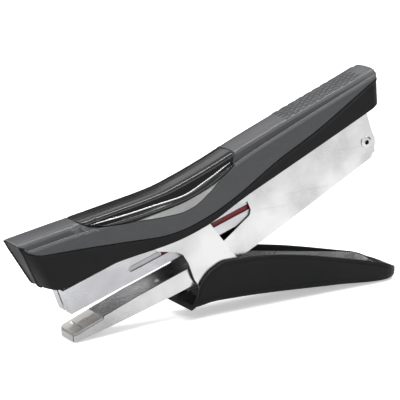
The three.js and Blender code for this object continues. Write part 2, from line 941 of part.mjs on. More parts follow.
function pusherBlock() {
  const start = pusherStart + faceThick + seatGap;
  return saddle(start, pusherStart + pusherLength, 1.4, saddleTop)
    .add(box(start, start + pusherHead, -5, 5, railTop + 0.15, 11.7))
    .subtract(rodHole(start - 1, start + pusherHead + 1, rodRadius + holePlay));
}

const pusherFace = () => saddle(pusherStart, pusherStart + faceThick, 1.4, saddleTop);

const guideRod = () => rodHole(6, stopFront + stopLength, rodRadius);

function endStop() {
  return box(stopFront, stopFront + stopLength, -saddleHalf, saddleHalf, 0.75, 11.8)
    .subtract(rodHole(stopFront - 1, stopFront + stopLength + 1, rodRadius + seatGap))
    .subtract(standingHole(stopFront + stopLength / 2, 0, 0, 0, railRivetRadius + seatGap, 9));
}

const stopRivet = () => {
  const geometry = turnedSolid([
    [0, -0.8],
    [1.3, -0.8],
    [1.9, -0.3],
    [1.9, 0],
    [railRivetRadius, 0],
    [railRivetRadius, 4.2],
    [0, 4.2],
  ]);
  geometry.rotateX(Math.PI / 2);
  geometry.translate(stopFront + stopLength / 2, 0, -seatGap);
  return solidOf(geometry);
};

const coilTurns = 15;
const coilSteps = 6;

class Coil extends THREE.Curve {
  constructor(from, to, radius, turns) {
    super();
    Object.assign(this, { from, to, radius, turns });
  }

  getPoint(t, target = new THREE.Vector3()) {
    const a = t * this.turns * 2 * Math.PI;
    const x = this.from + (this.to - this.from) * t;
    return target.set(x, this.radius * Math.cos(a), this.radius * Math.sin(a));
  }
}

function pusherSpring() {
  const from = pusherStart + faceThick + seatGap + pusherHead + 0.6;
  const coil = new Coil(from, stopFront - 0.6, springRadius, coilTurns);
  const section = shapeOf(arc(0, 0, springWire / 2, 0, 270, 3));
  const geometry = new THREE.ExtrudeGeometry(section, {
    steps: coilTurns * coilSteps,
    extrudePath: coil,
    bevelEnabled: false,
  });
  geometry.translate(0, 0, rodRise);
  return solidOf(geometry);
}

// ---------- lower handle ----------
const shellRivetAt = [92, 148];
const shellRivetRadius = 1.5;
const shellSlope = -4.0;
const handleRivetAt = 119;
const earEye = 4.7;
const leverFloor = (x) => shellLine(x) + shellWall + shellGap;

function roundedEnd(end, half, radius) {
  return [
    [-80, -half],
    ...arc(end - radius, -half + radius, radius, 270, 360),
    ...arc(end - radius, half - radius, radius, 0, 90),
    [-80, half],
  ];
}

const bearing = (() => {
  const step = 0.01;
  const rise = (baseLine(bearingPin.x + step) - baseLine(bearingPin.x)) / step;
  const size = Math.hypot(rise, 1);
  const away = bearingPin.radius + wallGap;
  return {
    x: bearingPin.x + (away * rise) / size,
    z: baseLine(bearingPin.x) - away / size,
  };
})();

function lowerLever() {
  const outline = [
    ...arc(drawPivot.x, drawPivot.z, earEye, 200, 65, 8),
    [56, 49.6],
    [66, 47.4],
    [71.4, 45.6],
    [78.5, 35.4],
    [84.8, 26.6],
    [88, 24.9],
    [104, 21.6],
    [154, 12.2],
    [162, 10.4],
    [166.4, 8.4],
    [leverRear, 5.6],
    ...along(leverFloor, floorStart - 2, leverRear, 14).reverse(),
    [64.4, 11.5],
    [64.3, 15.5],
    [62, 19.5],
    [59.3, 28.0],
    [56.8, 32.4],
    [53.4, 34.3],
    [43.4, 36.4],
    [41.6, 38.4],
  ];
  const hollow = [
    ...along(leverFloor, floorStart, leverRear + 4, 16, earWall),
    [farOff, leverFloor(leverRear) + earWall],
    [farOff, high],
    [-60, high],
    [-60, -5],
    [floorStart, -5],
  ];
  const inside = slab(hollow, earInner).intersect(
    post(roundedEnd(leverRear - earWall, earInner, endRadius - earWall), -10, high + 10),
  );
  let solid = slab(outline, earOuter)
    .intersect(post(roundedEnd(leverRear, earOuter, endRadius), -10, high + 10))
    .subtract(inside)
    .subtract(crossRod(drawPivot.x, drawPivot.z, drawRivetRadius + holePlay, -20, 20))
    .subtract(crossRod(bearing.x, bearing.z, bearingPin.radius + seatGap, -20, 20));
  for (const x of shellRivetAt) {
    solid = solid.subtract(
      standingHole(x, 0, leverFloor(x), shellSlope, shellRivetRadius + seatGap, 6),
    );
  }
  return solid.subtract(
    standingHole(handleRivetAt, 0, leverFloor(handleRivetAt), shellSlope, 1.1 + seatGap, 3),
  );
}

// A U section whose lower corners are rounded, lofted along the lower handle.
function troughLoft(half, lift, corner) {
  const from = shellFront - 2;
  const to = shellRear + 2;
  const count = 18;
  const sections = Array.from({ length: count + 1 }, (_, i) => {
    const x = from + ((to - from) * i) / count;
    const low = shellLine(Math.min(x, footRear)) + lift;
    const side = [...arc(half - corner, low + corner, corner, 270, 360), [half, 60]];
    const right = side.map(([y, z]) => new THREE.Vector3(x, y, z));
    const left = side.map(([y, z]) => new THREE.Vector3(x, -y, z)).reverse();
    return [...left, ...right];
  });
  return solidOf(new LoftGeometry(sections, { capStart: true, capEnd: true }));
}

function handleShell() {
  const outline = [
    ...along(shellLine, shellFront, footFront, 14),
    [footRear, 0],
    [174.4, 0.9],
    [shellRear, 2.4],
    [175.4, 4.0],
    [174.0, 5.5],
    ...shellRim,
    [59.2, 6.6],
  ];
  const outer = troughLoft(shellHalf, 0, 4)
    .intersect(slab(outline, farOff))
    .intersect(post(roundedEnd(shellRear, shellHalf, 10), -10, high));
  const inner = troughLoft(shellInner, shellWall, 0.4).intersect(
    post(roundedEnd(leverRear + shellGap, shellInner, endRadius), -10, high),
  );
  let solid = outer
    .subtract(inner)
    .subtract(standingHole(handleRivetAt, 0, leverFloor(handleRivetAt), shellSlope, 2.6, 2.4));
  for (const x of shellRivetAt) {
    solid = solid
      .subtract(standingHole(x, 0, shellLine(x) + 1, shellSlope, shellRivetRadius + seatGap, 8))
      .subtract(standingHole(x, 0, shellLine(x), shellSlope, 3.3, 2.2));
  }
  return solid;
}

function shellRivet(x) {
  const seat = shellLine(x) + 1.1 - seatGap;
  const length = leverFloor(x) + earWall - seat + seatGap;
  return standingRivet(x, 0, seat, shellSlope, shellRivetRadius, 3.0, length);
}

const bearingPinSolid = () =>
  crossRod(bearing.x, bearing.z, bearingPin.radius, -earOuter + 0.05, earOuter - 0.05);

function handleSpring() {
  const rest = earWall + seatGap;
  const tip = 84;
  const path = [
    [tip - 2, baseLine(tip) - 3.0],
    [tip + 0.5, baseLine(tip) - leafThick - 0.5],
    [tip + 3, baseLine(tip) - leafThick - 0.9],
    [111, leverFloor(111) + rest + 0.8],
    [114, leverFloor(114) + rest],
    [124, leverFloor(124) + rest],
  ];
  return leaf(path, 12, leafThick).subtract(
    standingHole(handleRivetAt, 0, leverFloor(handleRivetAt), shellSlope, 1.1 + seatGap, 8),
  );
}

// ---------- assembly ----------
const stapler = new THREE.Group();
stapler.name = "stapler";
stapler.position.x = -(noseX + shellRear) / 2;

const pivotRivet = () => {
  const side = leverOuter + seatGap;
  return crossRivet(
    rearPivot.x,
    rearPivot.z,
    pivotRivetRadius,
    pivotHeadRadius,
    -side,
    side,
    pivotBore,
  );
};

stapler.add(
  meshOf("base_channel", baseChannel(), brightSteel),
  meshOf("anvil_plate", anvilPlateSolid(), anvilSteel),
  meshOf("anvil_rivet", anvilRivet(), anvilSteel),
  meshOf("rear_pivot_rivet", pivotRivet(), brightSteel),
  meshOf("lift_spring", liftSpring(), springSteel),
  meshOf(
    "lift_spring_rivet",
    standingRivet(
      liftRivetAt,
      0,
      baseLine(liftRivetAt) - 0.2,
      liftSlope,
      1.1,
      2.1,
      baseWall + leafThick + 0.55,
    ),
    brightSteel,
  ),
  meshOf("top_cover", topCover(), greyPlastic),
  meshOf("side_skirt", sideSkirt(), blackPlastic),
  meshOf("inlay_panel", inlayPanel(), glossBlack),
  meshOf("upper_lever", upperLever(), brightSteel),
);
for (const [side, word] of [
  [-1, "right"],
  [1, "left"],
]) {
  stapler.add(
    meshOf("chrome_strip_" + word, chromeStrip(side), chromeTrim),
    meshOf("side_crescent_" + word, crescent(side), silverTrim),
    meshOf("draw_rivet_" + word, drawRivet(side), brightSteel),
  );
}
stapler.add(
  meshOf("cover_screw_front", coverScrew(screwAt[0]), springSteel),
  meshOf("cover_screw_rear", coverScrew(screwAt[1]), springSteel),
);

const bladeGroup = new THREE.Group();
const [bladeX, bladeZ] = fromPivot(0, 0, bladeAngle);
bladeGroup.position.set(bladeX, 0, bladeZ);
bladeGroup.rotation.y = THREE.MathUtils.degToRad(-bladeAngle);
bladeGroup.add(
  meshOf("driver_blade", driverBlade(), springSteel),
  meshOf("blade_rivet_right", bladeRivet(-1), brightSteel),
  meshOf("blade_rivet_left", bladeRivet(1), brightSteel),
);
stapler.add(bladeGroup);

const magazineGroup = new THREE.Group();
const [magazineX, magazineZ] = fromPivot(0, 0, magazineAngle);
magazineGroup.position.set(magazineX, 0, magazineZ);
magazineGroup.rotation.y = THREE.MathUtils.degToRad(-magazineAngle);
magazineGroup.add(
  meshOf("magazine_channel", magazineChannel(), brightSteel),
  meshOf("staple_rail", stapleRail(), springSteel),
  meshOf("rail_rivet_front", floorRivet(railFeet[0], 1.85), brightSteel),
  meshOf("rail_rivet_rear", floorRivet(railFeet[1], 1.85), brightSteel),
  meshOf("staple_strip", stapleStrip(), brightSteel),
  meshOf("guide_rod", guideRod(), springSteel),
  meshOf("end_stop", endStop(), brightSteel),
  meshOf("end_stop_rivet", stopRivet(), brightSteel),
  meshOf("pusher_spring", pusherSpring(), springSteel),
  meshOf("pusher_block", pusherBlock(), redPlastic),
  meshOf("pusher_face", pusherFace(), brightSteel),
);
stapler.add(magazineGroup);

stapler.add(
  meshOf("lower_lever", lowerLever(), brightSteel),
  meshOf("handle_shell", handleShell(), blackPlastic),
  meshOf("bearing_pin", bearingPinSolid(), brightSteel),
  meshOf("shell_rivet_front", shellRivet(shellRivetAt[0]), springSteel),
  meshOf("shell_rivet_rear", shellRivet(shellRivetAt[1]), springSteel),
  meshOf("handle_spring", handleSpring(), springSteel),
  meshOf(
    "handle_spring_rivet",
    standingRivet(
      handleRivetAt,
      0,
      leverFloor(handleRivetAt) - seatGap,
      shellSlope,
      1.1,
      2.1,
      earWall + leafThick + seatGap * 3,
    ),
    brightSteel,
  ),
);

export default stapler;
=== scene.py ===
"""A plier-type hand stapler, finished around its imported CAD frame.

Sizes are in millimetres, with X counted from the anvil tip towards the rear, Y across and Z up.
place() turns them into the frame's metres.
"""

import json
import math

import bmesh
import bpy
import numpy as np
from mathutils import Matrix, Vector


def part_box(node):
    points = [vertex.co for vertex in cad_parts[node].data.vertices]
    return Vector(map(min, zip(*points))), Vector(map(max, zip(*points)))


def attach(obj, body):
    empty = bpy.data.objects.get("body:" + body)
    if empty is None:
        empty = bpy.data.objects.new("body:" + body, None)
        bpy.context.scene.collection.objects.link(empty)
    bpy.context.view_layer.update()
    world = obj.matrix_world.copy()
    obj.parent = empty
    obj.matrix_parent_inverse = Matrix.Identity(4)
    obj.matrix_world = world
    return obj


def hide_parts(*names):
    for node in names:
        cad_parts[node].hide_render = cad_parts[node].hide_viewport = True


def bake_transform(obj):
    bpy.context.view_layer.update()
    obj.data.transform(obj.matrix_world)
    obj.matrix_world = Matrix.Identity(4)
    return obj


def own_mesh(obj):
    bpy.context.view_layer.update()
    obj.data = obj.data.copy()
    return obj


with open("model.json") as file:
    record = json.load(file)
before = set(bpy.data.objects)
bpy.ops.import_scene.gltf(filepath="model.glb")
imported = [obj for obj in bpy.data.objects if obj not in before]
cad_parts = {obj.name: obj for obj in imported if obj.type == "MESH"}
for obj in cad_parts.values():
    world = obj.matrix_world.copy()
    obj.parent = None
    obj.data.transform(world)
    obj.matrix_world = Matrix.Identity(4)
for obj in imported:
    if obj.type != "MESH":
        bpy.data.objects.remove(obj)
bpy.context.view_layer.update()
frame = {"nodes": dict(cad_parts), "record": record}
record = frame["record"]
body_of_node = {
    node: body
    for body, nodes in record["behaviour"]["bodies"].items()
    for node in nodes
}
MM = 0.001
TIP_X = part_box("base_channel")[0][0] / MM  # the anvil tip, in the frame


def place(x, y, z):
    return Vector(((x + TIP_X) * MM, y * MM, z * MM))


# ---------- the side outlines ----------


def curve_through(points):
    """z(x) that passes smoothly through the points without overshooting them."""
    px = np.array([p[0] for p in points], float)
    pz = np.array([p[1] for p in points], float)
    rise = np.diff(pz) / np.diff(px)
    slope = np.zeros(len(px))
    slope[0] = rise[0]
    slope[-1] = rise[-1]
    for i in range(1, len(px) - 1):
        if rise[i - 1] * rise[i] > 0:
            slope[i] = 2 * rise[i - 1] * rise[i] / (rise[i - 1] + rise[i])

    def height(x):
        x = np.asarray(x, float)
        i = np.clip(np.searchsorted(px, x, side="right") - 1, 0, len(px) - 2)
        span = px[i + 1] - px[i]
        t = np.clip((x - px[i]) / span, 0, 1)
        value = (1 + 2 * t) * (1 - t) ** 2 * pz[i] + t * t * (3 - 2 * t) * pz[i + 1]
        value += span * (t * (1 - t) ** 2 * slope[i] - t * t * (1 - t) * slope[i + 1])
        value += np.where(x < px[0], slope[0] * (x - px[0]), 0)
        return value + np.where(x > px[-1], slope[-1] * (x - px[-1]), 0)

    return height


spine_line = curve_through(
    [(-26, 50.4), (-14, 52.4), (7, 55.8), (30, 59.6), (50, 63.2), (64, 67.5), (79, 73.0), (95, 79.6),
     (117, 88.0), (169, 106.8)]
)
shoulder_line = curve_through(
    [(-26, 47.2), (0, 51.4), (12, 53.0), (28, 54.6), (41, 56.2), (57, 59.0), (70, 63.4), (78, 67.6),
     (90, 73.6), (117, 84.8), (169, 105.2)]
)
parting_line = curve_through(
    [(-26, 51.6), (-23.6, 49.4), (-20.5, 46.6), (-14, 45.2), (3.5, 45.0), (27.5, 44.3), (44, 43.7),
     (55, 44.8), (69, 48.9), (83, 55.2), (108, 69.9), (130, 81.1), (157.6, 97.4), (170, 104.2)]
)
skirt_line = curve_through(
    [(-26, 29.4), (-13, 28.2), (-7, 27.9), (2, 30.2), (20, 35.2), (52, 40.0), (69, 45.0), (90, 55.3),
     (112, 65.0), (143, 78.7), (170, 90.8)]
)
inlay_edge = curve_through(
    [(6.9, 55.6), (12, 53.4), (28, 53.1), (41, 54.9), (57, 57.9), (70, 62.3), (79, 66.9), (85.5, 71.5),
     (88, 77.4)]
)
crescent_edge = curve_through([(32, 53.2), (44, 53.0), (54, 53.3), (62, 55.1), (70, 59.8), (78.4, 66.4)])
strip_line = curve_through([(12, 54.3), (28, 55.9), (42, 57.8), (58, 60.2), (72, 65.8), (84.6, 72.0)])

NOSE_X = -24.4
NOSE_LEAN = 0.47
NOSE_TOP = float(spine_line(NOSE_X))
LEAN_LENGTH = 45.0
HANDLE_REAR = 166.5
HANDLE_HALF = 13.8
SKIRT_WALL = 2.2
PARTING_GAP = 0.3
REAR_CORNER = 5.0
NOSE_SWEEP = 6.5  # length over which the nose widens to the full handle
INLAY_FRONT = 7.3
INLAY_REAR = 87.6
CRESCENT_FRONT = 33.0
CRESCENT_REAR = 77.6
POCKET_DEPTH = 1.1
TRIM_GAP = 0.3


# ---------- the handle's skin ----------


def front_half_width(z):
    """Half width of the nose's front face, narrowing towards its foot."""
    return 4.0 + 5.2 * np.clip((z - 29.0) / 16.0, 0, 1)


def half_width(x, z):
    """Half width of the handle in plan, narrowing round the nose and at the rear corners."""
    front = front_half_width(z)
    sweep = np.clip((x - NOSE_X) / NOSE_SWEEP, 0, 1)
    width = front + (HANDLE_HALF - front) * (1 - (1 - sweep) ** 2)
    into_corner = np.clip(x - (HANDLE_REAR - REAR_CORNER), 0, REAR_CORNER)
    rear = HANDLE_HALF - REAR_CORNER + math.sqrt(max(REAR_CORNER**2 - float(into_corner) ** 2, 0))
    return np.minimum(width, rear)


def lean_at(x):
    return NOSE_LEAN * max(0.0, 1 - (x - NOSE_X) / LEAN_LENGTH)


skin_cache = {}


def skin(x):
    """The handle's outer surface at one station: points (x, y, z) from the middle of the top down the side,
    with the distance along them and the outward normals."""
    key = round(x, 4)
    if key in skin_cache:
        return skin_cache[key]
    lean = lean_at(x)

    def leaning(height):
        z = float(height(x))
        for _ in range(4):
            z = float(height(x + lean * (NOSE_TOP - z)))
        return (x + lean * (NOSE_TOP - z), z)

    def furrow(at):
        edge = spine_line(at) - 1.3
        ridge = shoulder_line(at)
        depth = 0.9 + 0.7 * np.clip((np.asarray(at) - 80) / 12, 0, 1)
        return np.minimum(ridge - depth + np.maximum(0, (edge - ridge - 3) * 1.1), edge - 0.6)

    outline = [
        (0.0, spine_line),
        (4.8, lambda at: spine_line(at) - 0.12),
        (7.6, lambda at: spine_line(at) - 0.5),
        (9.0, lambda at: spine_line(at) - 1.3),
        (10.3, furrow),
        (11.2, lambda at: shoulder_line(at) + 0.1),
        (12.2, lambda at: shoulder_line(at) - 0.3),
        (13.1, lambda at: shoulder_line(at) - 1.7),
        (HANDLE_HALF, lambda at: shoulder_line(at) - 4.8),
        (HANDLE_HALF, lambda at: shoulder_line(at) - 34.0),
    ]
    corners = []
    for y, height in outline:
        px, pz = leaning(height)
        corners.append((px, y, pz))
    corners = np.array(corners)
    steps = np.linalg.norm(np.diff(corners, axis=0), axis=1)
    along = np.concatenate([[0], np.cumsum(steps)])
    spacing = 0.12
    dense = np.arange(0, along[-1], spacing)
    points = np.stack([np.interp(dense, along, corners[:, k]) for k in range(3)], axis=1)
    reach = 9  # samples each side that round a corner, about a millimetre
    weights = np.exp(-0.5 * (np.arange(-reach, reach + 1) / 3.6) ** 2)
    weights /= weights.sum()
    mirrored = points[reach:0:-1] * np.array([1, -1, 1])
    padded = np.concatenate([mirrored, points, np.repeat(points[-1:], reach, axis=0)])
    points = np.stack([np.convolve(padded[:, k], weights, mode="valid") for k in range(3)], axis=1)
    points[:, 1] = np.minimum(points[:, 1], half_width(x, points[:, 2]))
    steps = np.linalg.norm(np.diff(points, axis=0), axis=1)
    along = np.concatenate([[0], np.cumsum(steps)])
    tangent = np.gradient(points, axis=0)
    length = np.hypot(tangent[:, 1], tangent[:, 2]) + 1e-9
    normal = np.stack([np.zeros(len(points)), -tangent[:, 2] / length, tangent[:, 1] / length], axis=1)
    skin_cache[key] = (points, along, normal)
    return skin_cache[key]


def distance_at(x, line, rise=0.0):
    """Distance down the skin, from the middle of the top, to where it crosses a line of heights."""
    points, along, _ = skin(x)
    above = points[:, 2] - (line(points[:, 0]) + rise)
    inside = np.nonzero(above >= 0)[0]
    if len(inside) == 0:
        return 0.0
    i = inside[-1]
    if i + 1 >= len(points):
        return float(along[-1])
    share = above[i] / (above[i] - above[i + 1] + 1e-12)
    return float(along[i] + share * (along[i + 1] - along[i]))


def skin_points(x, distances, offsets):
    """Points at signed distances from the middle of the top (+ towards +Y), moved out by the offsets."""
    points, along, normal = skin(x)
    distances = np.asarray(distances, float)
    size = np.abs(distances)
    side = np.where(distances < 0, -1.0, 1.0)
    out = np.empty((len(distances), 3))
    for k in range(3):
        base = np.interp(size, along, points[:, k])
        out[:, k] = base + np.interp(size, along, normal[:, k]) * np.asarray(offsets)
    out[:, 1] *= side
    return out


# ---------- mesh helpers ----------


def new_object(name, mesh):
    thing = bpy.data.objects.new(name, mesh)
    bpy.context.scene.collection.objects.link(thing)
    return thing


def shade(thing, degrees=32):
    thing.data.shade_smooth()
    thing.data.set_sharp_from_angle(angle=math.radians(degrees))


def ring_faces(count, rings, closed=False):
    """Faces between rings of count points. closed joins the last ring to the first; else the ends close."""
    faces = []
    for i in range(rings if closed else rings - 1):
        here = i * count
        there = (i + 1) % rings * count
        for k in range(count):
            k2 = (k + 1) % count
            faces.append((here + k, here + k2, there + k2, there + k))
    if not closed:
        faces.append(tuple(reversed(range(count))))
        faces.append(tuple(range((rings - 1) * count, rings * count)))
    return faces


def solid_of(name, vertices, faces, merge=0.0):
    """A closed solid with its faces turned outwards, its points merged where they lie that close."""
    mesh = bpy.data.meshes.new(name)
    mesh.from_pydata(vertices, [], faces)
    work = bmesh.new()
    work.from_mesh(mesh)
    if merge:
        bmesh.ops.remove_doubles(work, verts=work.verts, dist=merge)
        bmesh.ops.dissolve_degenerate(work, edges=work.edges, dist=merge / 2)
    bmesh.ops.recalc_face_normals(work, faces=work.faces)
    work.to_mesh(mesh)
    work.free()
    return new_object(name, mesh)


def loft(name, loops, closed=False, degrees=32):
    """A solid through closed loops of points in millimetres."""
    vertices = [place(*p) for loop in loops for p in loop]
    thing = solid_of(name, vertices, ring_faces(len(loops[0]), len(loops), closed), merge=2e-6)
    shade(thing, degrees)
    return thing


def finish_piece(thing, node, material, rides=True):
    """The piece takes the place of its CAD node: same body, same material slot. One that bends between
    bodies doesn't ride on either."""
    thing.data.materials.clear()
    thing.data.materials.append(material)
    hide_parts(node)
    if rides:
        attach(thing, body_of_node[node])
    return thing


def applied(thing):
    """The object with its modifiers made into a plain mesh."""
    graph = bpy.context.evaluated_depsgraph_get()
    graph.update()
    mesh = bpy.data.meshes.new_from_object(thing.evaluated_get(graph))
    thing.modifiers.clear()
    thing.data = mesh
    return thing


def worked_copy(node, bevel, degrees=30, segments=2):
    """A copy of a CAD node with its flats joined and every edge broken by a small round."""
    mesh = frame["nodes"][node].data.copy()
    mesh.name = node + "_finished"
    work = bmesh.new()
    work.from_mesh(mesh)
    bmesh.ops.remove_doubles(work, verts=work.verts, dist=1e-6)
    flats = math.radians(0.4)
    bmesh.ops.dissolve_limit(work, angle_limit=flats, verts=work.verts, edges=work.edges)
    work.to_mesh(mesh)
    work.free()
    thing = new_object(node + "_finished", mesh)
    thing.data.shade_smooth()
    rounding = thing.modifiers.new("edge round", "BEVEL")
    rounding.width = bevel * MM
    rounding.segments = segments
    rounding.limit_method = "ANGLE"
    rounding.angle_limit = math.radians(degrees)
    rounding.use_clamp_overlap = True
    flat = thing.modifiers.new("flat faces", "WEIGHTED_NORMAL")
    flat.weight = 100
    return applied(thing)


# ---------- surface effects as shader groups ----------


class Graph:
    """Adds nodes to a node tree and joins them."""

    def __init__(self, tree):
        self.tree = tree
        self.across = 0

    def add(self, kind, inputs=(), **settings):
        """A new node. inputs gives a value, or a socket to join, for each input named."""
        node = self.tree.nodes.new(kind)
        node.location = (self.across, 0)
        self.across += 180
        for name, value in settings.items():
            setattr(node, name, value)
        for label, value in dict(inputs).items():
            if isinstance(value, bpy.types.NodeSocket):
                self.link(value, node.inputs[label])
            else:
                node.inputs[label].default_value = value
        return node

    def link(self, source, target):
        self.tree.links.new(source, target)

    def maths(self, operation, a, b):
        return self.add("ShaderNodeMath", {0: a, 1: b}, operation=operation).outputs["Value"]

    def ranged(self, source, low, high, start=0.0, end=1.0, **settings):
        """A value that runs from start to end as the source runs from low to high."""
        inputs = {"Value": source, "From Min": low, "From Max": high, "To Min": start, "To Max": end}
        return self.add("ShaderNodeMapRange", inputs, **settings).outputs["Result"]

    def noise(self, at, scale, detail, **more):
        inputs = {"Vector": at, "Scale": scale, "Detail": detail, **more}
        return self.add("ShaderNodeTexNoise", inputs).outputs["Fac"]


def effect_group(name, inputs, outputs):
    """An empty shader group with named number inputs and its outputs, and its Graph."""
    tree = bpy.data.node_groups.new(name, "ShaderNodeTree")
    for label, value in inputs:
        socket = tree.interface.new_socket(label, in_out="INPUT", socket_type="NodeSocketFloat")
        socket.default_value = value
    for label in outputs:
        tree.interface.new_socket(label, in_out="OUTPUT", socket_type="NodeSocketFloat")
    graph = Graph(tree)
    graph.entry = graph.add("NodeGroupInput")
    graph.exit = graph.add("NodeGroupOutput")
    return tree, graph


def scaled_coordinates(graph, stretch, turn=(0, 0, 0)):
    where = graph.add("ShaderNodeTexCoord").outputs["Object"]
    inputs = {"Vector": where, "Rotation": turn, "Scale": stretch}
    return graph.add("ShaderNodeMapping", inputs).outputs["Vector"]


def make_moulded_grain():
    """Fine spark-eroded grain of a moulding: Height for a bump, Patches for its gloss."""
    inputs = [("Grain per metre", 5200.0), ("Softness", 0.55)]
    tree, g = effect_group("moulded_grain", inputs, ["Height", "Patches"])
    at = scaled_coordinates(g, (1, 1, 1))
    given = g.entry.outputs
    fine = g.noise(at, given["Grain per metre"], 3, Roughness=given["Softness"])
    g.link(fine, g.exit.inputs["Height"])
    g.link(g.noise(at, 260, 2), g.exit.inputs["Patches"])
    return tree


def make_smudges_and_painted_shade():
    """Broad soft patches: smudges where the hands hold it, and in a metal's colour also painted reflection
    shading.
    """
    tree, g = effect_group("smudges_and_painted_shade", [("Smudges per metre", 55.0)], ["Smudge"])
    broad = g.noise(scaled_coordinates(g, (1, 1, 1)), g.entry.outputs["Smudges per metre"], 4)
    g.link(g.ranged(broad, 0.38, 0.68), g.exit.inputs["Smudge"])
    return tree


def make_rolling_lines():
    """Lines that rolling and polishing leave along a sheet, and a few crossing scratches."""
    inputs = [("Lines per metre", 2600.0), ("Scratches per metre", 420.0)]
    tree, g = effect_group("rolling_lines", inputs, ["Lines", "Scratch"])
    given = g.entry.outputs
    lines = g.noise(scaled_coordinates(g, (0.04, 1, 0.55)), given["Lines per metre"], 3)
    g.link(lines, g.exit.inputs["Lines"])
    crossing = scaled_coordinates(g, (0.05, 1, 1), turn=(0.3, 0.7, 0.4))
    marks = g.noise(crossing, given["Scratches per metre"], 1)
    g.link(g.ranged(marks, 0.66, 0.74), g.exit.inputs["Scratch"])
    return tree


EFFECTS = {
    "moulded_grain": make_moulded_grain(),
    "smudges_and_painted_shade": make_smudges_and_painted_shade(),
    "rolling_lines": make_rolling_lines(),
}


class Finish:
    """One material: a Principled shader whose colour, gloss and bump are worked by the shared effects."""

    def __init__(self, name, metallic=0.0, specular=0.5, coat=0.0):
        self.material = bpy.data.materials.new(name + "_finish")
        self.material["slot"] = name
        self.material.use_nodes = True
        tree = self.material.node_tree
        self.shader = tree.nodes["Principled BSDF"]
        self.g = Graph(tree)
        self.g.across = -1800
        self.shader.inputs["Metallic"].default_value = metallic
        self.shader.inputs["Specular IOR Level"].default_value = specular
        self.shader.inputs["Coat Weight"].default_value = coat
        self.shader.inputs["Coat Roughness"].default_value = 0.06

    def effect(self, name, **values):
        node = self.g.add("ShaderNodeGroup")
        node.node_tree = EFFECTS[name]
        for label, value in values.items():
            node.inputs[label.replace("_", " ")].default_value = value
        return node

    def spread(self, source, low, high):
        """A 0 to 1 value spread between two others."""
        return self.g.ranged(source, 0, 1, low, high)

    def sum(self, a, b):
        return self.g.maths("ADD", a, b)

    def colour(self, mask, first, second):
        inputs = {"A": (*first, 1), "B": (*second, 1), "Factor": mask}
        return self.g.add("ShaderNodeMix", inputs, data_type="RGBA").outputs["Result"]

    def base(self, source):
        self.g.link(source, self.shader.inputs["Base Color"])

    def roughness(self, source):
        self.g.link(source, self.shader.inputs["Roughness"])

    def bump(self, source, strength, depth_mm):
        inputs = {"Strength": strength, "Distance": depth_mm * MM, "Height": source}
        made = self.g.add("ShaderNodeBump", inputs)
        self.g.link(made.outputs["Normal"], self.shader.inputs["Normal"])


def moulded(name, first, second, gloss, rougher, grain_depth, grain=5200.0, specular=0.3, coat=0.0):
    """A moulded plastic: grain in its gloss and bump, smudges where it is held."""
    made = Finish(name, specular=specular, coat=coat)
    texture = made.effect("moulded_grain", Grain_per_metre=grain)
    broad_patches = made.effect("smudges_and_painted_shade")
    made.base(made.colour(texture.outputs["Patches"], first, second))
    made.roughness(
        made.sum(
            made.spread(broad_patches.outputs["Smudge"], gloss, rougher),
            made.spread(texture.outputs["Height"], -0.04, 0.04),
        )
    )
    made.bump(texture.outputs["Height"], 0.5, grain_depth)
    return made.material


def rolled(name, first, second, gloss, rougher, line_depth, lines=2600.0):
    """A sheet or drawn metal: rolling lines, faint scratches and smudges; its colour darkens in broad soft
    patches that are smudges and painted reflection shading.
    """
    made = Finish(name, metallic=1.0)
    rolling = made.effect("rolling_lines", Lines_per_metre=lines)
    broad_patches = made.effect("smudges_and_painted_shade", Smudges_per_metre=40.0)
    # the second, darker tone in broad patches is smudges and painted reflection shading
    made.base(made.colour(broad_patches.outputs["Smudge"], first, second))
    made.roughness(
        made.sum(
            made.spread(broad_patches.outputs["Smudge"], gloss, rougher),
            made.sum(
                made.spread(rolling.outputs["Lines"], -0.03, 0.05),
                made.spread(rolling.outputs["Scratch"], 0.0, 0.12),
            ),
        )
    )
    made.bump(rolling.outputs["Lines"], 0.35, line_depth)
    return made.material


# each metal's second tone is its darker patches: smudges and painted reflection shading
plated_steel = rolled("plated_steel", (0.8, 0.8, 0.8), (0.56, 0.56, 0.57), 0.16, 0.3, 0.006)
# the magazine's steel: the same plated steel in a darker colour, painted shade where it sits under the
# handle; its finer lines are its drawn finish
shaded_drawn_steel = rolled("shaded_drawn_steel", (0.66, 0.66, 0.68), (0.5, 0.5, 0.52), 0.2, 0.32, 0.006, lines=3200.0)
shaded_drawn_steel["slot"] = "plated_steel"
anvil_steel = rolled("anvil_steel", (0.56, 0.55, 0.52), (0.44, 0.43, 0.41), 0.4, 0.5, 0.01, lines=1800.0)
spring_steel = rolled("spring_steel", (0.34, 0.35, 0.36), (0.26, 0.27, 0.28), 0.28, 0.4, 0.006)
staple_wire = rolled("staple_wire", (0.6, 0.6, 0.61), (0.5, 0.5, 0.51), 0.22, 0.34, 0.003)
chrome_trim = rolled("chrome_trim", (0.8, 0.8, 0.81), (0.72, 0.72, 0.73), 0.24, 0.32, 0.001)
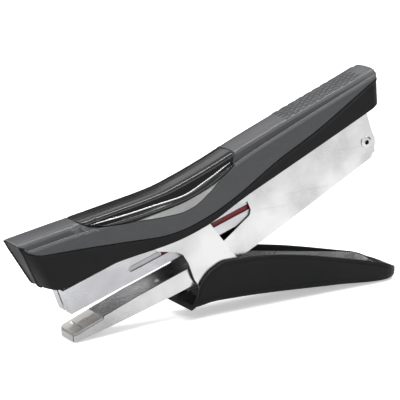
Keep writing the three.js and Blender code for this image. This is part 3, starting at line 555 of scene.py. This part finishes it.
# the cut edges' dark colour is painted shade and dark reflection along the plate edges; their rougher gloss
# is the sheared finish
shaded_cut_edge = rolled("shaded_cut_edge", (0.2, 0.2, 0.205), (0.14, 0.14, 0.145), 0.4, 0.5, 0.01)
grey_cover = moulded(
    "grey_cover", (0.062, 0.063, 0.068), (0.05, 0.051, 0.055), 0.3, 0.4, 0.012, specular=0.45
)
black_plastic = moulded(
    "black_plastic", (0.0075, 0.0078, 0.0078), (0.0055, 0.0058, 0.0058), 0.4, 0.54, 0.008, specular=0.2
)
gloss_black = moulded(
    "gloss_black", (0.0045, 0.0047, 0.0045), (0.003, 0.0032, 0.003), 0.17, 0.24, 0.0006, 2600.0, 0.3, 0.08
)
silver_trim = moulded(
    "silver_trim", (0.33, 0.335, 0.33), (0.27, 0.275, 0.27), 0.3, 0.4, 0.008, 3800.0, 0.4, 0.2
)
red_plastic = moulded(
    "red_plastic", (0.26, 0.012, 0.02), (0.17, 0.008, 0.012), 0.2, 0.32, 0.006, specular=0.4
)


# ---------- the plastic mouldings of the upper handle ----------


def pocket_edge(at):
    """Lower edge of the pocket that holds the inlay and the crescents."""
    at = np.asarray(at, float)
    inside = (at > CRESCENT_FRONT - TRIM_GAP) & (at < CRESCENT_REAR + TRIM_GAP)
    return np.where(inside, np.minimum(inlay_edge(at), crescent_edge(at)), inlay_edge(at))


def body_stations(step, extra=()):
    nose = NOSE_X + np.array([0, 0.2, 0.5, 0.9, 1.4, 2.0, 2.8, 3.8, 5.0, 6.4])
    middle = np.arange(NOSE_X + 8, HANDLE_REAR - REAR_CORNER, step)
    corner = HANDLE_REAR - REAR_CORNER + REAR_CORNER * np.sin(np.linspace(0, math.pi / 2, 10))
    return sorted(set(np.round(np.concatenate([nose, middle, corner, np.array(extra)]), 3)))


def edge_round(distance, radius):
    """How far a surface has fallen at a distance from its rounded edge."""
    inside = np.clip(radius - distance, 0, radius)
    return radius - np.sqrt(np.maximum(radius**2 - inside**2, 0))


def cover_loop(x):
    low = distance_at(x, parting_line, PARTING_GAP / 2)
    in_pocket = INLAY_FRONT - TRIM_GAP <= x <= INLAY_REAR + TRIM_GAP
    if in_pocket:
        pocket = distance_at(x, pocket_edge, -TRIM_GAP)
    else:
        end = INLAY_FRONT - TRIM_GAP if x < INLAY_FRONT else INLAY_REAR + TRIM_GAP
        there = distance_at(end, pocket_edge, -TRIM_GAP)
        settled = min(1.0, abs(x - end) / 4.0) if x < INLAY_FRONT else 1.0
        pocket = min(there + (9.4 - there) * settled, 0.6 * low)
    floor = 1 - (1 - np.linspace(0, 1, 30)) ** 1.3
    inner = pocket * floor
    wall = pocket + np.array([0.0, 0.08, 0.22, 0.42])
    rest = np.linspace(pocket + 0.7, low - 0.6, 46)
    foot = low - np.array([0.42, 0.24, 0.1, 0.0])
    half = np.concatenate([inner, wall, rest, foot])
    offset = np.zeros(len(half))
    if in_pocket:
        offset[: len(inner)] = -POCKET_DEPTH
        lip = np.interp(x, [10, 40, 70, INLAY_REAR], [0.0, 0.05, 0.16, 0.22])
        offset[len(inner) : len(inner) + 4] = lip - edge_round(wall - pocket, 0.2)
        offset[len(inner) + 4] = lip * 0.5
    beyond = x - (INLAY_REAR + TRIM_GAP)
    if 0 < beyond < 0.9:
        offset[: len(inner)] = 0.24 * math.sin(math.pi * beyond / 0.9)
    offset[-4:] = -edge_round(low - foot, 0.3)
    outer_half = skin_points(x, half, offset)
    left = outer_half[:0:-1] * np.array([1, -1, 1])
    outer = np.concatenate([left, outer_half])
    foot_z = outer_half[-1][2]
    lean = lean_at(x)
    room = min(x - NOSE_X, HANDLE_REAR - x)
    foot_y = max(outer_half[-1][1] - SKIRT_WALL, 0.8)
    top = float(spine_line(x))
    ridge = float(shoulder_line(x))
    heights = [(1.0, foot_z), (0.985, ridge - 5.0), (0.9, ridge - 2.9)]
    heights += [(0.68, top - 4.2), (0.4, top - 3.7), (0.0, top - 3.6)]
    if room < 2.4:
        heights = [(share, foot_z) for share, _ in heights]
    inside = []
    for share, z in heights:
        z = max(z, foot_z)
        inside.append((x + lean * (NOSE_TOP - z), foot_y * share, z))
    inside = np.array(inside)
    mirrored = inside[-2::-1] * np.array([1, -1, 1])
    return np.concatenate([outer, inside, mirrored])


def make_top_cover():
    front, rear = INLAY_FRONT - TRIM_GAP, INLAY_REAR + TRIM_GAP
    edges = [front - 0.02, front, rear, rear + 0.02]
    rim = list(rear + np.array([0.15, 0.3, 0.45, 0.6, 0.75, 0.9, 1.2]))
    corner = list(np.arange(83.0, INLAY_REAR, 0.3))
    stations = body_stations(1.6, edges + rim + corner)
    cover = loft("top_cover_finished", [cover_loop(x) for x in stations], degrees=38)
    finish_piece(cover, "top_cover", grey_cover)


def make_inlay():
    front = INLAY_FRONT + np.array([0.0, 0.1, 0.3, 0.8])
    middle = np.arange(9.0, 83.0, 1.5)
    rear = np.arange(83.0, INLAY_REAR, 0.3)
    stations = np.concatenate([front, middle, rear, [INLAY_REAR]])
    loops = []
    for x in stations:
        half = max(distance_at(x, inlay_edge), 0.2)
        spread = half * np.sin(np.linspace(-math.pi / 2, math.pi / 2, 61))
        ends = min(x - INLAY_FRONT, INLAY_REAR - x)
        crown = 0.1 - edge_round(half - np.abs(spread), 0.3) - float(edge_round(np.array(ends), 0.25))
        top = skin_points(x, spread, crown)
        under = half * np.linspace(1, -1, 13)
        loops.append(np.concatenate([top, skin_points(x, under, np.full(13, -0.95))]))
    finish_piece(loft("inlay_panel_finished", loops, degrees=40), "inlay_panel", gloss_black)


def make_skin_strip(name, node, side, stations, span, proud, deep, material):
    """A narrow trim along the skin: span(x) gives its two distances down the skin on one side."""
    loops = []
    for x in stations:
        near, far = span(x)
        share = (1 - np.cos(np.linspace(0, math.pi, 11))) / 2
        down = near + (far - near) * share
        inner = down[::-2]
        top = skin_points(x, side * down, proud(share))
        bottom = skin_points(x, side * inner, np.full(len(inner), deep))
        loops.append(np.concatenate([top, bottom]))
    finish_piece(loft(name, loops, degrees=45), node, material)


STRIP_FRONT = 12.0
STRIP_REAR = 84.6
STRIP_HALF = 0.36  # half its width along the skin


def strip_span(x):
    taper = min(1.0, 0.25 + (x - STRIP_FRONT) / 12, 0.3 + (STRIP_REAR - x) / 6)
    middle = distance_at(x, strip_line)
    half = STRIP_HALF * taper
    return middle - half, middle + half


def crescent_span(x):
    near = distance_at(x, inlay_edge, -TRIM_GAP)
    far = distance_at(x, crescent_edge)
    return near, max(far, near + 0.12)


def make_trims():
    for side, word in ((-1, "right"), (1, "left")):
        make_skin_strip(
            "chrome_strip_" + word + "_finished",
            "chrome_strip_" + word,
            side,
            np.linspace(STRIP_FRONT, STRIP_REAR, 56),
            strip_span,
            lambda share: 0.12 + 0.28 * np.sqrt(np.maximum(1 - (2 * share - 1) ** 2, 0)),
            0.11,
            chrome_trim,
        )
        make_skin_strip(
            "side_crescent_" + word + "_finished",
            "side_crescent_" + word,
            side,
            np.linspace(CRESCENT_FRONT, CRESCENT_REAR, 40),
            crescent_span,
            lambda share: -0.75 + 0.8 * share,
            -1.05,
            silver_trim,
        )


def front_column(share, rib):
    """One upright line of the nose's front face, share of the way out to its corner."""
    points = []
    for z in np.linspace(0, 1, 15):
        high = NOSE_TOP - 1.5
        for _ in range(4):
            high = float(parting_line(NOSE_X + NOSE_LEAN * (NOSE_TOP - high))) - PARTING_GAP / 2
        low = 28.5
        for _ in range(4):
            low = float(skirt_line(NOSE_X + NOSE_LEAN * (NOSE_TOP - low)))
        height = high + (low - high) * z
        y = float(front_half_width(height)) * share
        points.append((NOSE_X + NOSE_LEAN * (NOSE_TOP - height) - rib, y, height))
    return np.array(points)


def side_column(x):
    high = distance_at(x, parting_line, -PARTING_GAP / 2)
    low = distance_at(x, skirt_line)
    return skin_points(x, np.linspace(high, low, 15), np.zeros(15))


def make_side_skirt():
    """A ring of upright columns: the nose's front face, one side, the rear wall and the other side."""
    columns = [front_column(share, 0.0) for share in (0, 0.25, 0.5, 0.75, 0.88)]
    rib = ((0.9, 0.0), (0.925, 0.3), (0.95, 0.55), (0.98, 0.55), (1.0, 0.3))
    columns += [front_column(share, proud) for share, proud in rib]
    for x in body_stations(2.2):
        if x > NOSE_X + 0.1:
            columns.append(side_column(x))
    rear = side_column(HANDLE_REAR)
    for share in (0.75, 0.5, 0.25, 0.0):
        columns.append(rear * np.array([1, share, 1]))
    mirrored = [c * np.array([1, -1, 1]) for c in columns[-2:0:-1]]
    ring = np.array(columns + mirrored)
    ahead = np.roll(ring, -1, axis=0) - np.roll(ring, 1, axis=0)
    outward = np.stack([ahead[:, :, 1], -ahead[:, :, 0], np.zeros(ahead.shape[:2])], axis=2)
    outward /= np.linalg.norm(outward, axis=2, keepdims=True) + 1e-9
    if np.sum(outward[:, :, 0] * (ring[:, :, 0] - ring[:, :, 0].mean())) < 0:
        outward = -outward
    loops = []
    upper = [0, 0.12, 0.3, 0.6, 1.0, 1.6, 2.4]
    rows = np.concatenate([upper, np.linspace(0, 1, 12)[1:-1], [1.4, 0.8, 0.45, 0.2, 0.05, 0]])
    for column, normal in zip(ring, outward):
        steps = np.linalg.norm(np.diff(column, axis=0), axis=1)
        along = np.concatenate([[0], np.cumsum(steps)])
        total = along[-1]
        middle = 2.4 + (total - 2.4 - 1.4) * rows[7:17]
        down = np.concatenate([rows[:7], middle, total - rows[17:]])
        points = np.stack([np.interp(down, along, column[:, k]) for k in range(3)], axis=1)
        directions = np.stack([np.interp(down, along, normal[:, k]) for k in range(3)], axis=1)
        nose_share = max(0.0, 1 - (column[0][0] - NOSE_X) / 14)
        lip = 0.32 * np.exp(-(((down - 0.55) / 0.5) ** 2)) * (1 - 0.6 * nose_share)
        fall = edge_round(down, 0.3) + edge_round(total - down, 0.45 + 1.0 * nose_share)
        outer = points + directions * (lip - fall)[:, None]
        inner = points[::-4] - directions[::-4] * SKIRT_WALL
        loops.append(np.concatenate([outer, inner]))
    finish_piece(loft("side_skirt_finished", loops, closed=True, degrees=40), "side_skirt", black_plastic)


# ---------- the lower handle's moulded shell ----------

SHELL_FRONT = 58.5
SHELL_REAR = 175.6
SHELL_HALF = 13.2
SHELL_WALL = 2.0
SHELL_PLAN_ROUND = 10.0
shell_rim = curve_through(
    [(58.5, 5.9), (59.2, 6.6), (61, 8.9), (65.2, 17.6), (71.4, 23.3), (79, 26.0), (86, 25.9), (161, 10.9),
     (166.5, 8.9), (170.5, 6.9), (174, 5.5), (175.4, 4.0), (175.6, 3.6)]
)
shell_foot = curve_through(
    [(58.5, 5.2), (63.5, 5.6), (72, 6.6), (82, 6.4), (140, 2.3), (166, 0.0), (172.5, 0.0), (174.4, 0.9),
     (175.6, 2.4)]
)


def shell_half(x, half=SHELL_HALF, rear=SHELL_REAR, corner=SHELL_PLAN_ROUND):
    into = max(0.0, x - (rear - corner))
    return half - corner + math.sqrt(max(corner**2 - into**2, 0.0))


def shell_loop(x):
    """A U section: round the outside from the left rim down and up to the right rim, then back inside."""
    half = shell_half(x)
    foot = float(shell_foot(x))
    rim = max(float(shell_rim(x)), foot + 0.6)
    tall = rim - foot
    corner = min(4.0, 0.85 * tall, half * 0.8)
    wall = SHELL_WALL
    inner_end = 169.9
    right = []
    # a light bead runs along the outside just under the rim
    bead = np.interp(tall, [2.0, 8.0], [0.0, 0.22])
    below = np.array([0.0, 0.12, 0.3, 0.6, 0.95, 1.25, 1.5, 1.75, 2.0, 2.3, 2.7])
    swell = np.array([-0.4, -0.16, -0.04, 0.0, 0.0, -0.6, -1.0, -0.6, 0.0, 0.0, 0.0])
    room = min(1.0, (tall - corner) / 3.0) if tall > corner else 0.0
    for down, grow in zip(below, swell):
        shift = grow * (bead if grow < -0.5 else 1.0) if down > 0.9 else grow
        right.append((half + shift * min(1.0, tall / 4.0), rim - down * room))
    for height in np.linspace(rim - 2.7 * room, foot + corner, 7)[1:]:
        right.append((half, height))
    for angle in np.linspace(0, math.pi / 2, 12)[1:]:
        right.append((half - corner + corner * math.cos(angle), foot + corner - corner * math.sin(angle)))
    for y in np.linspace(half - corner, 0, 7)[1:]:
        right.append((y, foot))
    right = np.array(right)
    left = right[-2::-1] * np.array([-1, 1])
    outer = np.concatenate([right, left])
    if x < inner_end and tall > wall + 0.9:
        reach = shell_half(x, SHELL_HALF - wall, inner_end, 9.0)
        low = foot + wall
    else:
        reach = shell_half(min(x, inner_end), SHELL_HALF - wall, inner_end, 9.0)
        low = rim - 0.02
    inside = [(-reach - 0.25, rim), (-reach, rim - min(0.25, (rim - low) / 2))]
    highest = rim - min(0.5, (rim - low) / 2)
    for height in np.linspace(highest, low + min(0.4, (rim - low) / 3), 6):
        inside.append((-reach, height))
    inside.append((-reach + 0.12, low + 0.12 if rim - low > 1 else low))
    for y in np.linspace(-reach + 0.4, reach - 0.4, 11):
        inside.append((y, low))
    mirrored = [(-y, z) for y, z in inside[:9][::-1]]
    inside = np.array(inside + mirrored)
    flat = np.concatenate([outer, inside])
    return np.stack([np.full(len(flat), x), flat[:, 0], flat[:, 1]], axis=1)


def drill(thing, start, end, radius):
    """Cuts a round hole from start to end, points in millimetres."""
    a = place(*start)
    b = place(*end)
    mesh = bpy.data.meshes.new("drill")
    work = bmesh.new()
    bmesh.ops.create_cone(
        work, cap_ends=True, segments=40, radius1=radius * MM, radius2=radius * MM, depth=(b - a).length
    )
    turn = (b - a).to_track_quat("Z", "Y").to_matrix().to_4x4()
    bmesh.ops.transform(work, matrix=Matrix.Translation((a + b) / 2) @ turn, verts=work.verts)
    work.to_mesh(mesh)
    work.free()
    tool = new_object("drill", mesh)
    cut = thing.modifiers.new("hole", "BOOLEAN")
    cut.operation = "DIFFERENCE"
    cut.solver = "EXACT"
    cut.object = tool
    applied(thing)
    bpy.data.objects.remove(tool)


SHELL_RIVETS = (92.0, 148.0)
SHELL_SLOPE = math.radians(-4.0)


def make_handle_shell():
    stations = np.concatenate(
        [
            SHELL_FRONT + np.array([0.0, 0.25, 0.7, 1.3, 2.1]),
            np.arange(61.2, 88.0, 0.9),
            np.arange(88.0, 160.0, 2.0),
            np.arange(160.0, 169.8, 0.7),
            [169.88, 169.92],
            170.2 + (SHELL_REAR - 170.2) * np.sin(np.linspace(0, math.pi / 2, 14)),
        ]
    )
    shell = loft("handle_shell_finished", [shell_loop(x) for x in stations], degrees=40)
    for x in SHELL_RIVETS:
        low = float(shell_foot(x))
        across = math.sin(SHELL_SLOPE)
        drill(shell, (x + across * -2, 0, low - 2), (x + across * 1.1, 0, low + 1.1), 3.3)
        drill(shell, (x + across * -1, 0, low - 1), (x + across * 4, 0, low + 4), 1.65)
    shade(shell, 40)
    finish_piece(shell, "handle_shell", black_plastic)


# ---------- pieces that repeat or wind, as geometry nodes ----------


class Rule(Graph):
    """A geometry node tree with named inputs, run once on an object and turned into a plain mesh."""

    def __init__(self, name, inputs):
        tree = bpy.data.node_groups.new(name, "GeometryNodeTree")
        super().__init__(tree)
        tree.interface.new_socket("Geometry", in_out="INPUT", socket_type="NodeSocketGeometry")
        kinds = {int: "NodeSocketInt", float: "NodeSocketFloat", tuple: "NodeSocketVector"}
        self.values = {}
        for label, value in inputs.items():
            socket = tree.interface.new_socket(label, in_out="INPUT", socket_type=kinds[type(value)])
            self.values[socket.identifier] = value
        tree.interface.new_socket("Geometry", in_out="OUTPUT", socket_type="NodeSocketGeometry")
        self.entry = self.add("NodeGroupInput").outputs
        self.exit = self.add("NodeGroupOutput").inputs["Geometry"]

    def end(self, source, material):
        real = self.add("GeometryNodeRealizeInstances", {"Geometry": source}).outputs["Geometry"]
        paint = self.add("GeometryNodeSetMaterial", {"Geometry": real, "Material": material})
        self.link(paint.outputs["Geometry"], self.exit)

    def run(self, thing):
        modifier = thing.modifiers.new(self.tree.name, "NODES")
        modifier.node_group = self.tree
        for identifier, value in self.values.items():
            modifier[identifier] = value
        return applied(thing)


REAR_PIVOT = (159.7, 70.5)
MAGAZINE_TILT = math.radians(17.1)
MAGAZINE_REACH = 169.5
PIVOT_RISE = 7.6


def in_magazine(s, y, h):
    """A point s along the magazine's floor and h above it, where the magazine stands at rest."""
    across = s - MAGAZINE_REACH
    up = h - PIVOT_RISE
    c, n = math.cos(MAGAZINE_TILT), math.sin(MAGAZINE_TILT)
    return place(REAR_PIVOT[0] + across * c - up * n, y, REAR_PIVOT[1] + across * n + up * c)


def swept(name, path, section, degrees=40):
    """A solid with one section, (across, up) pairs, along path: a list of (origin, across, up) in metres."""
    vertices = []
    for origin, across, up in path:
        vertices += [origin + across * a * MM + up * b * MM for a, b in section]
    thing = solid_of(name, vertices, ring_faces(len(section), len(path)))
    shade(thing, degrees)
    return thing


STAPLE_COUNT = 98
STRIP_START = 0.75
STRIP_LENGTH = 50.0
CROWN = 12.9
STAPLE_TOP = 7.3
STAPLE_FOOT = 0.8


def make_staples():
    """One staple bent from flat wire, repeated side by side along the rail."""
    pitch = STRIP_LENGTH / STAPLE_COUNT
    half = CROWN / 2
    thick = 0.5
    wide = pitch * 0.94
    bend = 0.55
    side = thick / 2 - half
    crown = STAPLE_TOP - thick / 2 - bend
    centre = [(side, STAPLE_FOOT)]
    for angle in np.linspace(math.pi, math.pi / 2, 5):
        centre.append((side + bend + bend * math.cos(angle), crown + bend * math.sin(angle)))
    centre += [(-y, z) for y, z in centre[::-1]]
    along = (in_magazine(1, 0, 0) - in_magazine(0, 0, 0)).normalized()
    path = []
    for i, (y, z) in enumerate(centre):
        before = centre[max(i - 1, 0)]
        after = centre[min(i + 1, len(centre) - 1)]
        tangent = Vector((after[0] - before[0], after[1] - before[1])).normalized()
        outward_local = (-tangent.y, tangent.x)
        origin = in_magazine(STRIP_START + pitch / 2, y, z)
        tip = in_magazine(STRIP_START + pitch / 2, y + outward_local[0], z + outward_local[1])
        path.append((origin, along, (tip - origin).normalized()))
    w, t, c = wide / 2, thick / 2, 0.06
    section = [(-w, -t), (w, -t), (w, t - c), (w - c, t), (c - w, t), (-w, t - c)]
    one = swept("staples", path, section, 30)
    step = along * pitch * MM
    rule = Rule("staple_row", {"Count": STAPLE_COUNT, "Step": tuple(step), "Seed": 5})
    given = rule.entry
    line = {"Count": given["Count"], "Offset": given["Step"]}
    row = rule.add("GeometryNodeMeshLine", line, mode="OFFSET").outputs["Mesh"]
    play = {
        "Min": (-0.00001, -0.00003, -0.00002),
        "Max": (0.00001, 0.00003, 0.00001),
        "Seed": given["Seed"],
    }
    shift = rule.add("FunctionNodeRandomValue", play, data_type="FLOAT_VECTOR").outputs["Value"]
    spots = rule.add("GeometryNodeSetPosition", {"Geometry": row, "Offset": shift}).outputs["Geometry"]
    copies = rule.add("GeometryNodeInstanceOnPoints", {"Points": spots, "Instance": given["Geometry"]})
    rule.end(copies.outputs["Instances"], staple_wire)
    rule.run(one)
    finish_piece(one, "staple_strip", staple_wire)
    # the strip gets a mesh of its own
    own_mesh(one)


SPRING_START = 62.65
SPRING_END = 158.0
ROD_RISE = 9.7


def make_pusher_spring():
    """A wound wire on the guide rod: a line stood up as a spiral, then given a round section."""
    holder = new_object("pusher_spring_finished", bpy.data.meshes.new("pusher_spring_finished"))
    length = (SPRING_END - SPRING_START) * MM
    sizes = {"Turns": 26.0, "Coil radius": 1.95 * MM, "Wire radius": 0.225 * MM, "Length": length}
    rule = Rule("wound_wire", sizes)
    given = rule.entry
    coil = {
        "Resolution": 28,
        "Rotations": given["Turns"],
        "Start Radius": given["Coil radius"],
        "End Radius": given["Coil radius"],
        "Height": given["Length"],
    }
    spiral = rule.add("GeometryNodeCurveSpiral", coil).outputs["Curve"]
    round_wire = {"Resolution": 8, "Radius": given["Wire radius"]}
    section = rule.add("GeometryNodeCurvePrimitiveCircle", round_wire).outputs["Curve"]
    sweep = {"Curve": spiral, "Profile Curve": section, "Fill Caps": True}
    wire = rule.add("GeometryNodeCurveToMesh", sweep).outputs["Mesh"]
    smooth = rule.add("GeometryNodeSetShadeSmooth", {"Geometry": wire})
    rule.end(smooth.outputs["Geometry"], spring_steel)
    rule.run(holder)
    start = in_magazine(SPRING_START, 0, ROD_RISE)
    end = in_magazine(SPRING_END, 0, ROD_RISE)
    turn = (end - start).to_track_quat("Z", "Y").to_matrix().to_4x4()
    holder.data.transform(Matrix.Translation(start) @ turn)
    finish_piece(holder, "pusher_spring", spring_steel, rides=False)
    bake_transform(holder)


GRIP_FRONT = 119.0
GRIP_SLOPE = math.atan2(18.8, 52.0)


def make_grip():
    """Raised dashes in staggered rows on the straight rear of the handle's top."""
    rows, columns = 9, 9
    pitch_along, pitch_across = 4.9, 1.72
    long, wide, tall = 3.6, 0.82, 0.3
    along = Vector((math.cos(GRIP_SLOPE), 0, math.sin(GRIP_SLOPE)))
    across = Vector((0, 1, 0))
    up = along.cross(across)
    start = place(GRIP_FRONT, 0, float(spine_line(GRIP_FRONT)))
    reach = (long - wide) / 2
    ring = []
    for corner, end in enumerate((1, -1, -1, 1)):
        for step in np.linspace(0, math.pi / 2, 4):
            a = corner * math.pi / 2 + step
            ring.append((reach * end + wide / 2 * math.cos(a), wide / 2 * math.sin(a)))
    levels = ((1.0, -0.3), (1.0, tall - 0.18), (0.9, tall - 0.05), (0.66, tall))
    vertices = []
    for share, height in levels:
        for x, y in ring:
            middle = math.copysign(reach, x)
            offset = along * (middle + (x - middle) * share) + across * (y * share) + up * height
            vertices.append(start + offset * MM)
    dash = solid_of("grip_dashes", vertices, ring_faces(len(ring), len(levels)))
    shade(dash, 50)
    sizes = {
        "Rows": rows,
        "Dashes": columns,
        "Along": tuple(along * pitch_along * MM),
        "Across": pitch_across * MM,
        "Crown": 9.0,
    }
    rule = Rule("staggered_dashes", sizes)
    given, maths = rule.entry, rule.maths
    total = maths("MULTIPLY", given["Rows"], given["Dashes"])
    line = rule.add("GeometryNodeMeshLine", {"Count": total}, mode="OFFSET").outputs["Mesh"]
    order = rule.add("GeometryNodeInputIndex").outputs["Index"]
    row = maths("FLOOR", maths("DIVIDE", order, given["Dashes"]), 0.0)
    column = maths("MODULO", order, given["Dashes"])
    centre = maths("MULTIPLY", maths("SUBTRACT", given["Dashes"], 1.0), 0.5)
    sideways = maths("MULTIPLY", maths("SUBTRACT", column, centre), given["Across"])
    stagger = maths("MULTIPLY", maths("MODULO", column, 2.0), 0.5)
    forward = maths("ADD", row, stagger)
    run = rule.add("ShaderNodeVectorMath", {0: given["Along"], "Scale": forward}, operation="SCALE")
    squared = maths("MULTIPLY", sideways, sideways)
    drop = maths("MULTIPLY", squared, maths("MULTIPLY", given["Crown"], -1.0))
    flat = rule.add("ShaderNodeCombineXYZ", {"Y": sideways, "Z": drop}).outputs["Vector"]
    spot = rule.add("ShaderNodeVectorMath", {0: run.outputs["Vector"], 1: flat}, operation="ADD")
    placed = {"Geometry": line, "Position": spot.outputs["Vector"]}
    spots = rule.add("GeometryNodeSetPosition", placed).outputs["Geometry"]
    copies = rule.add("GeometryNodeInstanceOnPoints", {"Points": spots, "Instance": given["Geometry"]})
    rule.end(copies.outputs["Instances"], grey_cover)
    rule.run(dash)
    dash.data.materials.clear()
    dash.data.materials.append(grey_cover)
    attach(dash, "upper_handle")


# ---------- steel parts, from their CAD shapes with every edge broken ----------

def ends(*stems):
    """The front and rear piece of each pair."""
    return tuple(stem + end for stem in stems for end in ("_front", "_rear"))


def sides(*stems):
    """The left and right piece of each pair."""
    return tuple(stem + side for stem in stems for side in ("_left", "_right"))


SHEETS = ("base_channel", "upper_lever", "lower_lever", "magazine_channel", "staple_rail", "end_stop")
FRAME = ("base_channel", "upper_lever", "lower_lever")
SMALL_RIVETS = ("end_stop_rivet", "lift_spring_rivet", "handle_spring_rivet")

# the material, the width of the rounded edge and the parts that have them
WORKED = (
    (plated_steel, 0.1, FRAME + SMALL_RIVETS + ends("rail_rivet") + sides("draw_rivet", "blade_rivet")),
    (plated_steel, 0.15, ("end_stop", "bearing_pin")),
    (plated_steel, 0.12, ("rear_pivot_rivet",)),
    (plated_steel, 0.06, ("pusher_face",)),
    (shaded_drawn_steel, 0.08, ("magazine_channel",)),
    (anvil_steel, 0.2, ("anvil_plate",)),
    (anvil_steel, 0.12, ("anvil_rivet",)),
    (spring_steel, 0.12, ("staple_rail",) + ends("shell_rivet")),
    (spring_steel, 0.1, ("guide_rod",) + ends("cover_screw")),
    (spring_steel, 0.06, ("driver_blade",)),
    (red_plastic, 0.25, ("pusher_block",)),
)


def paint_cut_edges(thing, widest=1.15):
    """The narrow faces that shearing left round a folded sheet get their own darker metal: its rougher gloss
    is the sheared finish, its dark colour painted shade and dark reflection along the plate edges.
    """
    # the narrow edge faces get the dark metal: painted shade and dark reflection along the cut edges
    thing.data.materials.append(shaded_cut_edge)
    for face in thing.data.polygons:
        across = [thing.data.vertices[i].co.y for i in face.vertices]
        if abs(face.normal.y) < 0.35 and max(across) - min(across) < widest * MM:
            face.material_index = 1


def make_worked_parts():
    for material, bevel, nodes in WORKED:
        for node in nodes:
            piece = finish_piece(worked_copy(node, bevel), node, material)
            if node in SHEETS:
                paint_cut_edges(piece)


def make_leaf_springs():
    lift = finish_piece(worked_copy("lift_spring", 0.08), "lift_spring", spring_steel, rides=False)
    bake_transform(lift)
    hold = finish_piece(worked_copy("handle_spring", 0.08), "handle_spring", spring_steel)
    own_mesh(hold)


make_top_cover()
make_inlay()
make_trims()
make_side_skirt()
make_handle_shell()
make_staples()
make_pusher_spring()
make_grip()
make_worked_parts()
make_leaf_springs()


# ---------- floor, light and camera ----------


FLOOR_HALF = 3.0
FLOOR_DROP = 0.0004  # below the soles, so that nothing lies in its plane
FLOOR_GLOW = 0.45


def plain_floor():
    paint = Finish("floor_paint")
    paint.shader.inputs["Specular IOR Level"].default_value = 0.1
    speckle = paint.effect("moulded_grain", Grain_per_metre=300.0)
    paint.roughness(paint.spread(speckle.outputs["Height"], 0.8, 0.9))
    paint.shader.inputs["Emission Color"].default_value = (1, 1, 1, 1)
    seen = paint.g.add("ShaderNodeLightPath").outputs["Is Camera Ray"]
    pale = paint.colour(speckle.outputs["Patches"], (0.93, 0.93, 0.93), (0.95, 0.95, 0.95))
    tones = {"A": (0.72, 0.72, 0.72, 1), "B": pale, "Factor": seen}
    paint.base(paint.g.add("ShaderNodeMix", tones, data_type="RGBA").outputs["Result"])
    glow = paint.g.maths("MULTIPLY", seen, FLOOR_GLOW)
    paint.g.link(glow, paint.shader.inputs["Emission Strength"])
    mesh = bpy.data.meshes.new("floor")
    half, drop = FLOOR_HALF, -FLOOR_DROP
    corners = [(-half, -half, drop), (half, -half, drop), (half, half, drop), (-half, half, drop)]
    mesh.from_pydata(corners, [], [(0, 1, 2, 3)])
    mesh.materials.append(paint.material)
    new_object("floor", mesh)


def soft_light(name, where, target, size, power):
    lamp = bpy.data.lights.new(name, "AREA")
    lamp.shape = "RECTANGLE"
    lamp.size, lamp.size_y = size
    lamp.energy = power
    thing = bpy.data.objects.new(name, lamp)
    thing.location = where
    thing.rotation_euler = (Vector(target) - Vector(where)).to_track_quat("-Z", "Y").to_euler()
    bpy.context.scene.collection.objects.link(thing)


def bright_room():
    """A white room that darkens towards the front right and the floor, so that metal shows its form."""
    world = bpy.data.worlds.new("bright_room")
    bpy.context.scene.world = world
    world.use_nodes = True
    g = Graph(world.node_tree)
    back = world.node_tree.nodes["Background"]
    where = g.add("ShaderNodeTexCoord").outputs["Generated"]
    facing = {0: where, 1: (-0.35, -0.2, 0.91)}
    lean = g.add("ShaderNodeVectorMath", facing, operation="DOT_PRODUCT").outputs["Value"]
    light = g.ranged(lean, 0.1, 0.95, 0.1, 0.95, interpolation_type="SMOOTHSTEP")
    seen = g.add("ShaderNodeLightPath").outputs["Is Camera Ray"]
    clean = g.add("ShaderNodeMix", {"A": light, "B": 1.05, "Factor": seen})
    g.link(clean.outputs["Result"], back.inputs["Strength"])
    back.inputs["Color"].default_value = (1, 1, 1, 1)


CAMERA_TURN = math.radians(-26.81)
CAMERA_RISE = math.radians(13.8)
CAMERA_ROLL = math.radians(-3.39)
CAMERA_AIM = (72.8, 0, 54.1)
CAMERA_DISTANCE = 1.0  # metres
CAMERA_LENS = 190.8  # with a sensor 36 mm wide


def studio_camera():
    level = math.cos(CAMERA_RISE)
    toward = Vector((math.sin(CAMERA_TURN) * level, -math.cos(CAMERA_TURN) * level, math.sin(CAMERA_RISE)))
    right = Vector((math.cos(CAMERA_TURN), math.sin(CAMERA_TURN), 0))
    up = right.cross(-toward)
    across = right * math.cos(CAMERA_ROLL) + up * math.sin(CAMERA_ROLL)
    upright = up * math.cos(CAMERA_ROLL) - right * math.sin(CAMERA_ROLL)
    lens = bpy.data.cameras.new("camera")
    lens.sensor_width = 36
    lens.lens = CAMERA_LENS
    lens.clip_start = 0.01
    camera = bpy.data.objects.new("camera", lens)
    spot = place(*CAMERA_AIM) + toward * CAMERA_DISTANCE
    frame_of = Matrix((across, upright, toward)).transposed().to_4x4()
    camera.matrix_world = Matrix.Translation(spot) @ frame_of
    bpy.context.scene.collection.objects.link(camera)
    bpy.context.scene.camera = camera


plain_floor()
bright_room()
middle = (0, 0, 0.05)
soft_light("overhead_strip", (0.05, -0.3, 0.62), middle, (1.2, 0.12), 2.4)
soft_light("front_wall", (0.3, -1.1, 0.25), middle, (1.2, 0.4), 1.4)
soft_light("ridge_strip", (0.25, 0.32, 0.85), middle, (1.4, 0.1), 7)
soft_light("rear_rim", (0.3, 0.8, 0.6), middle, (1.3, 0.2), 1.2)
studio_camera()

bpy.context.scene.view_settings.view_transform = "Standard"
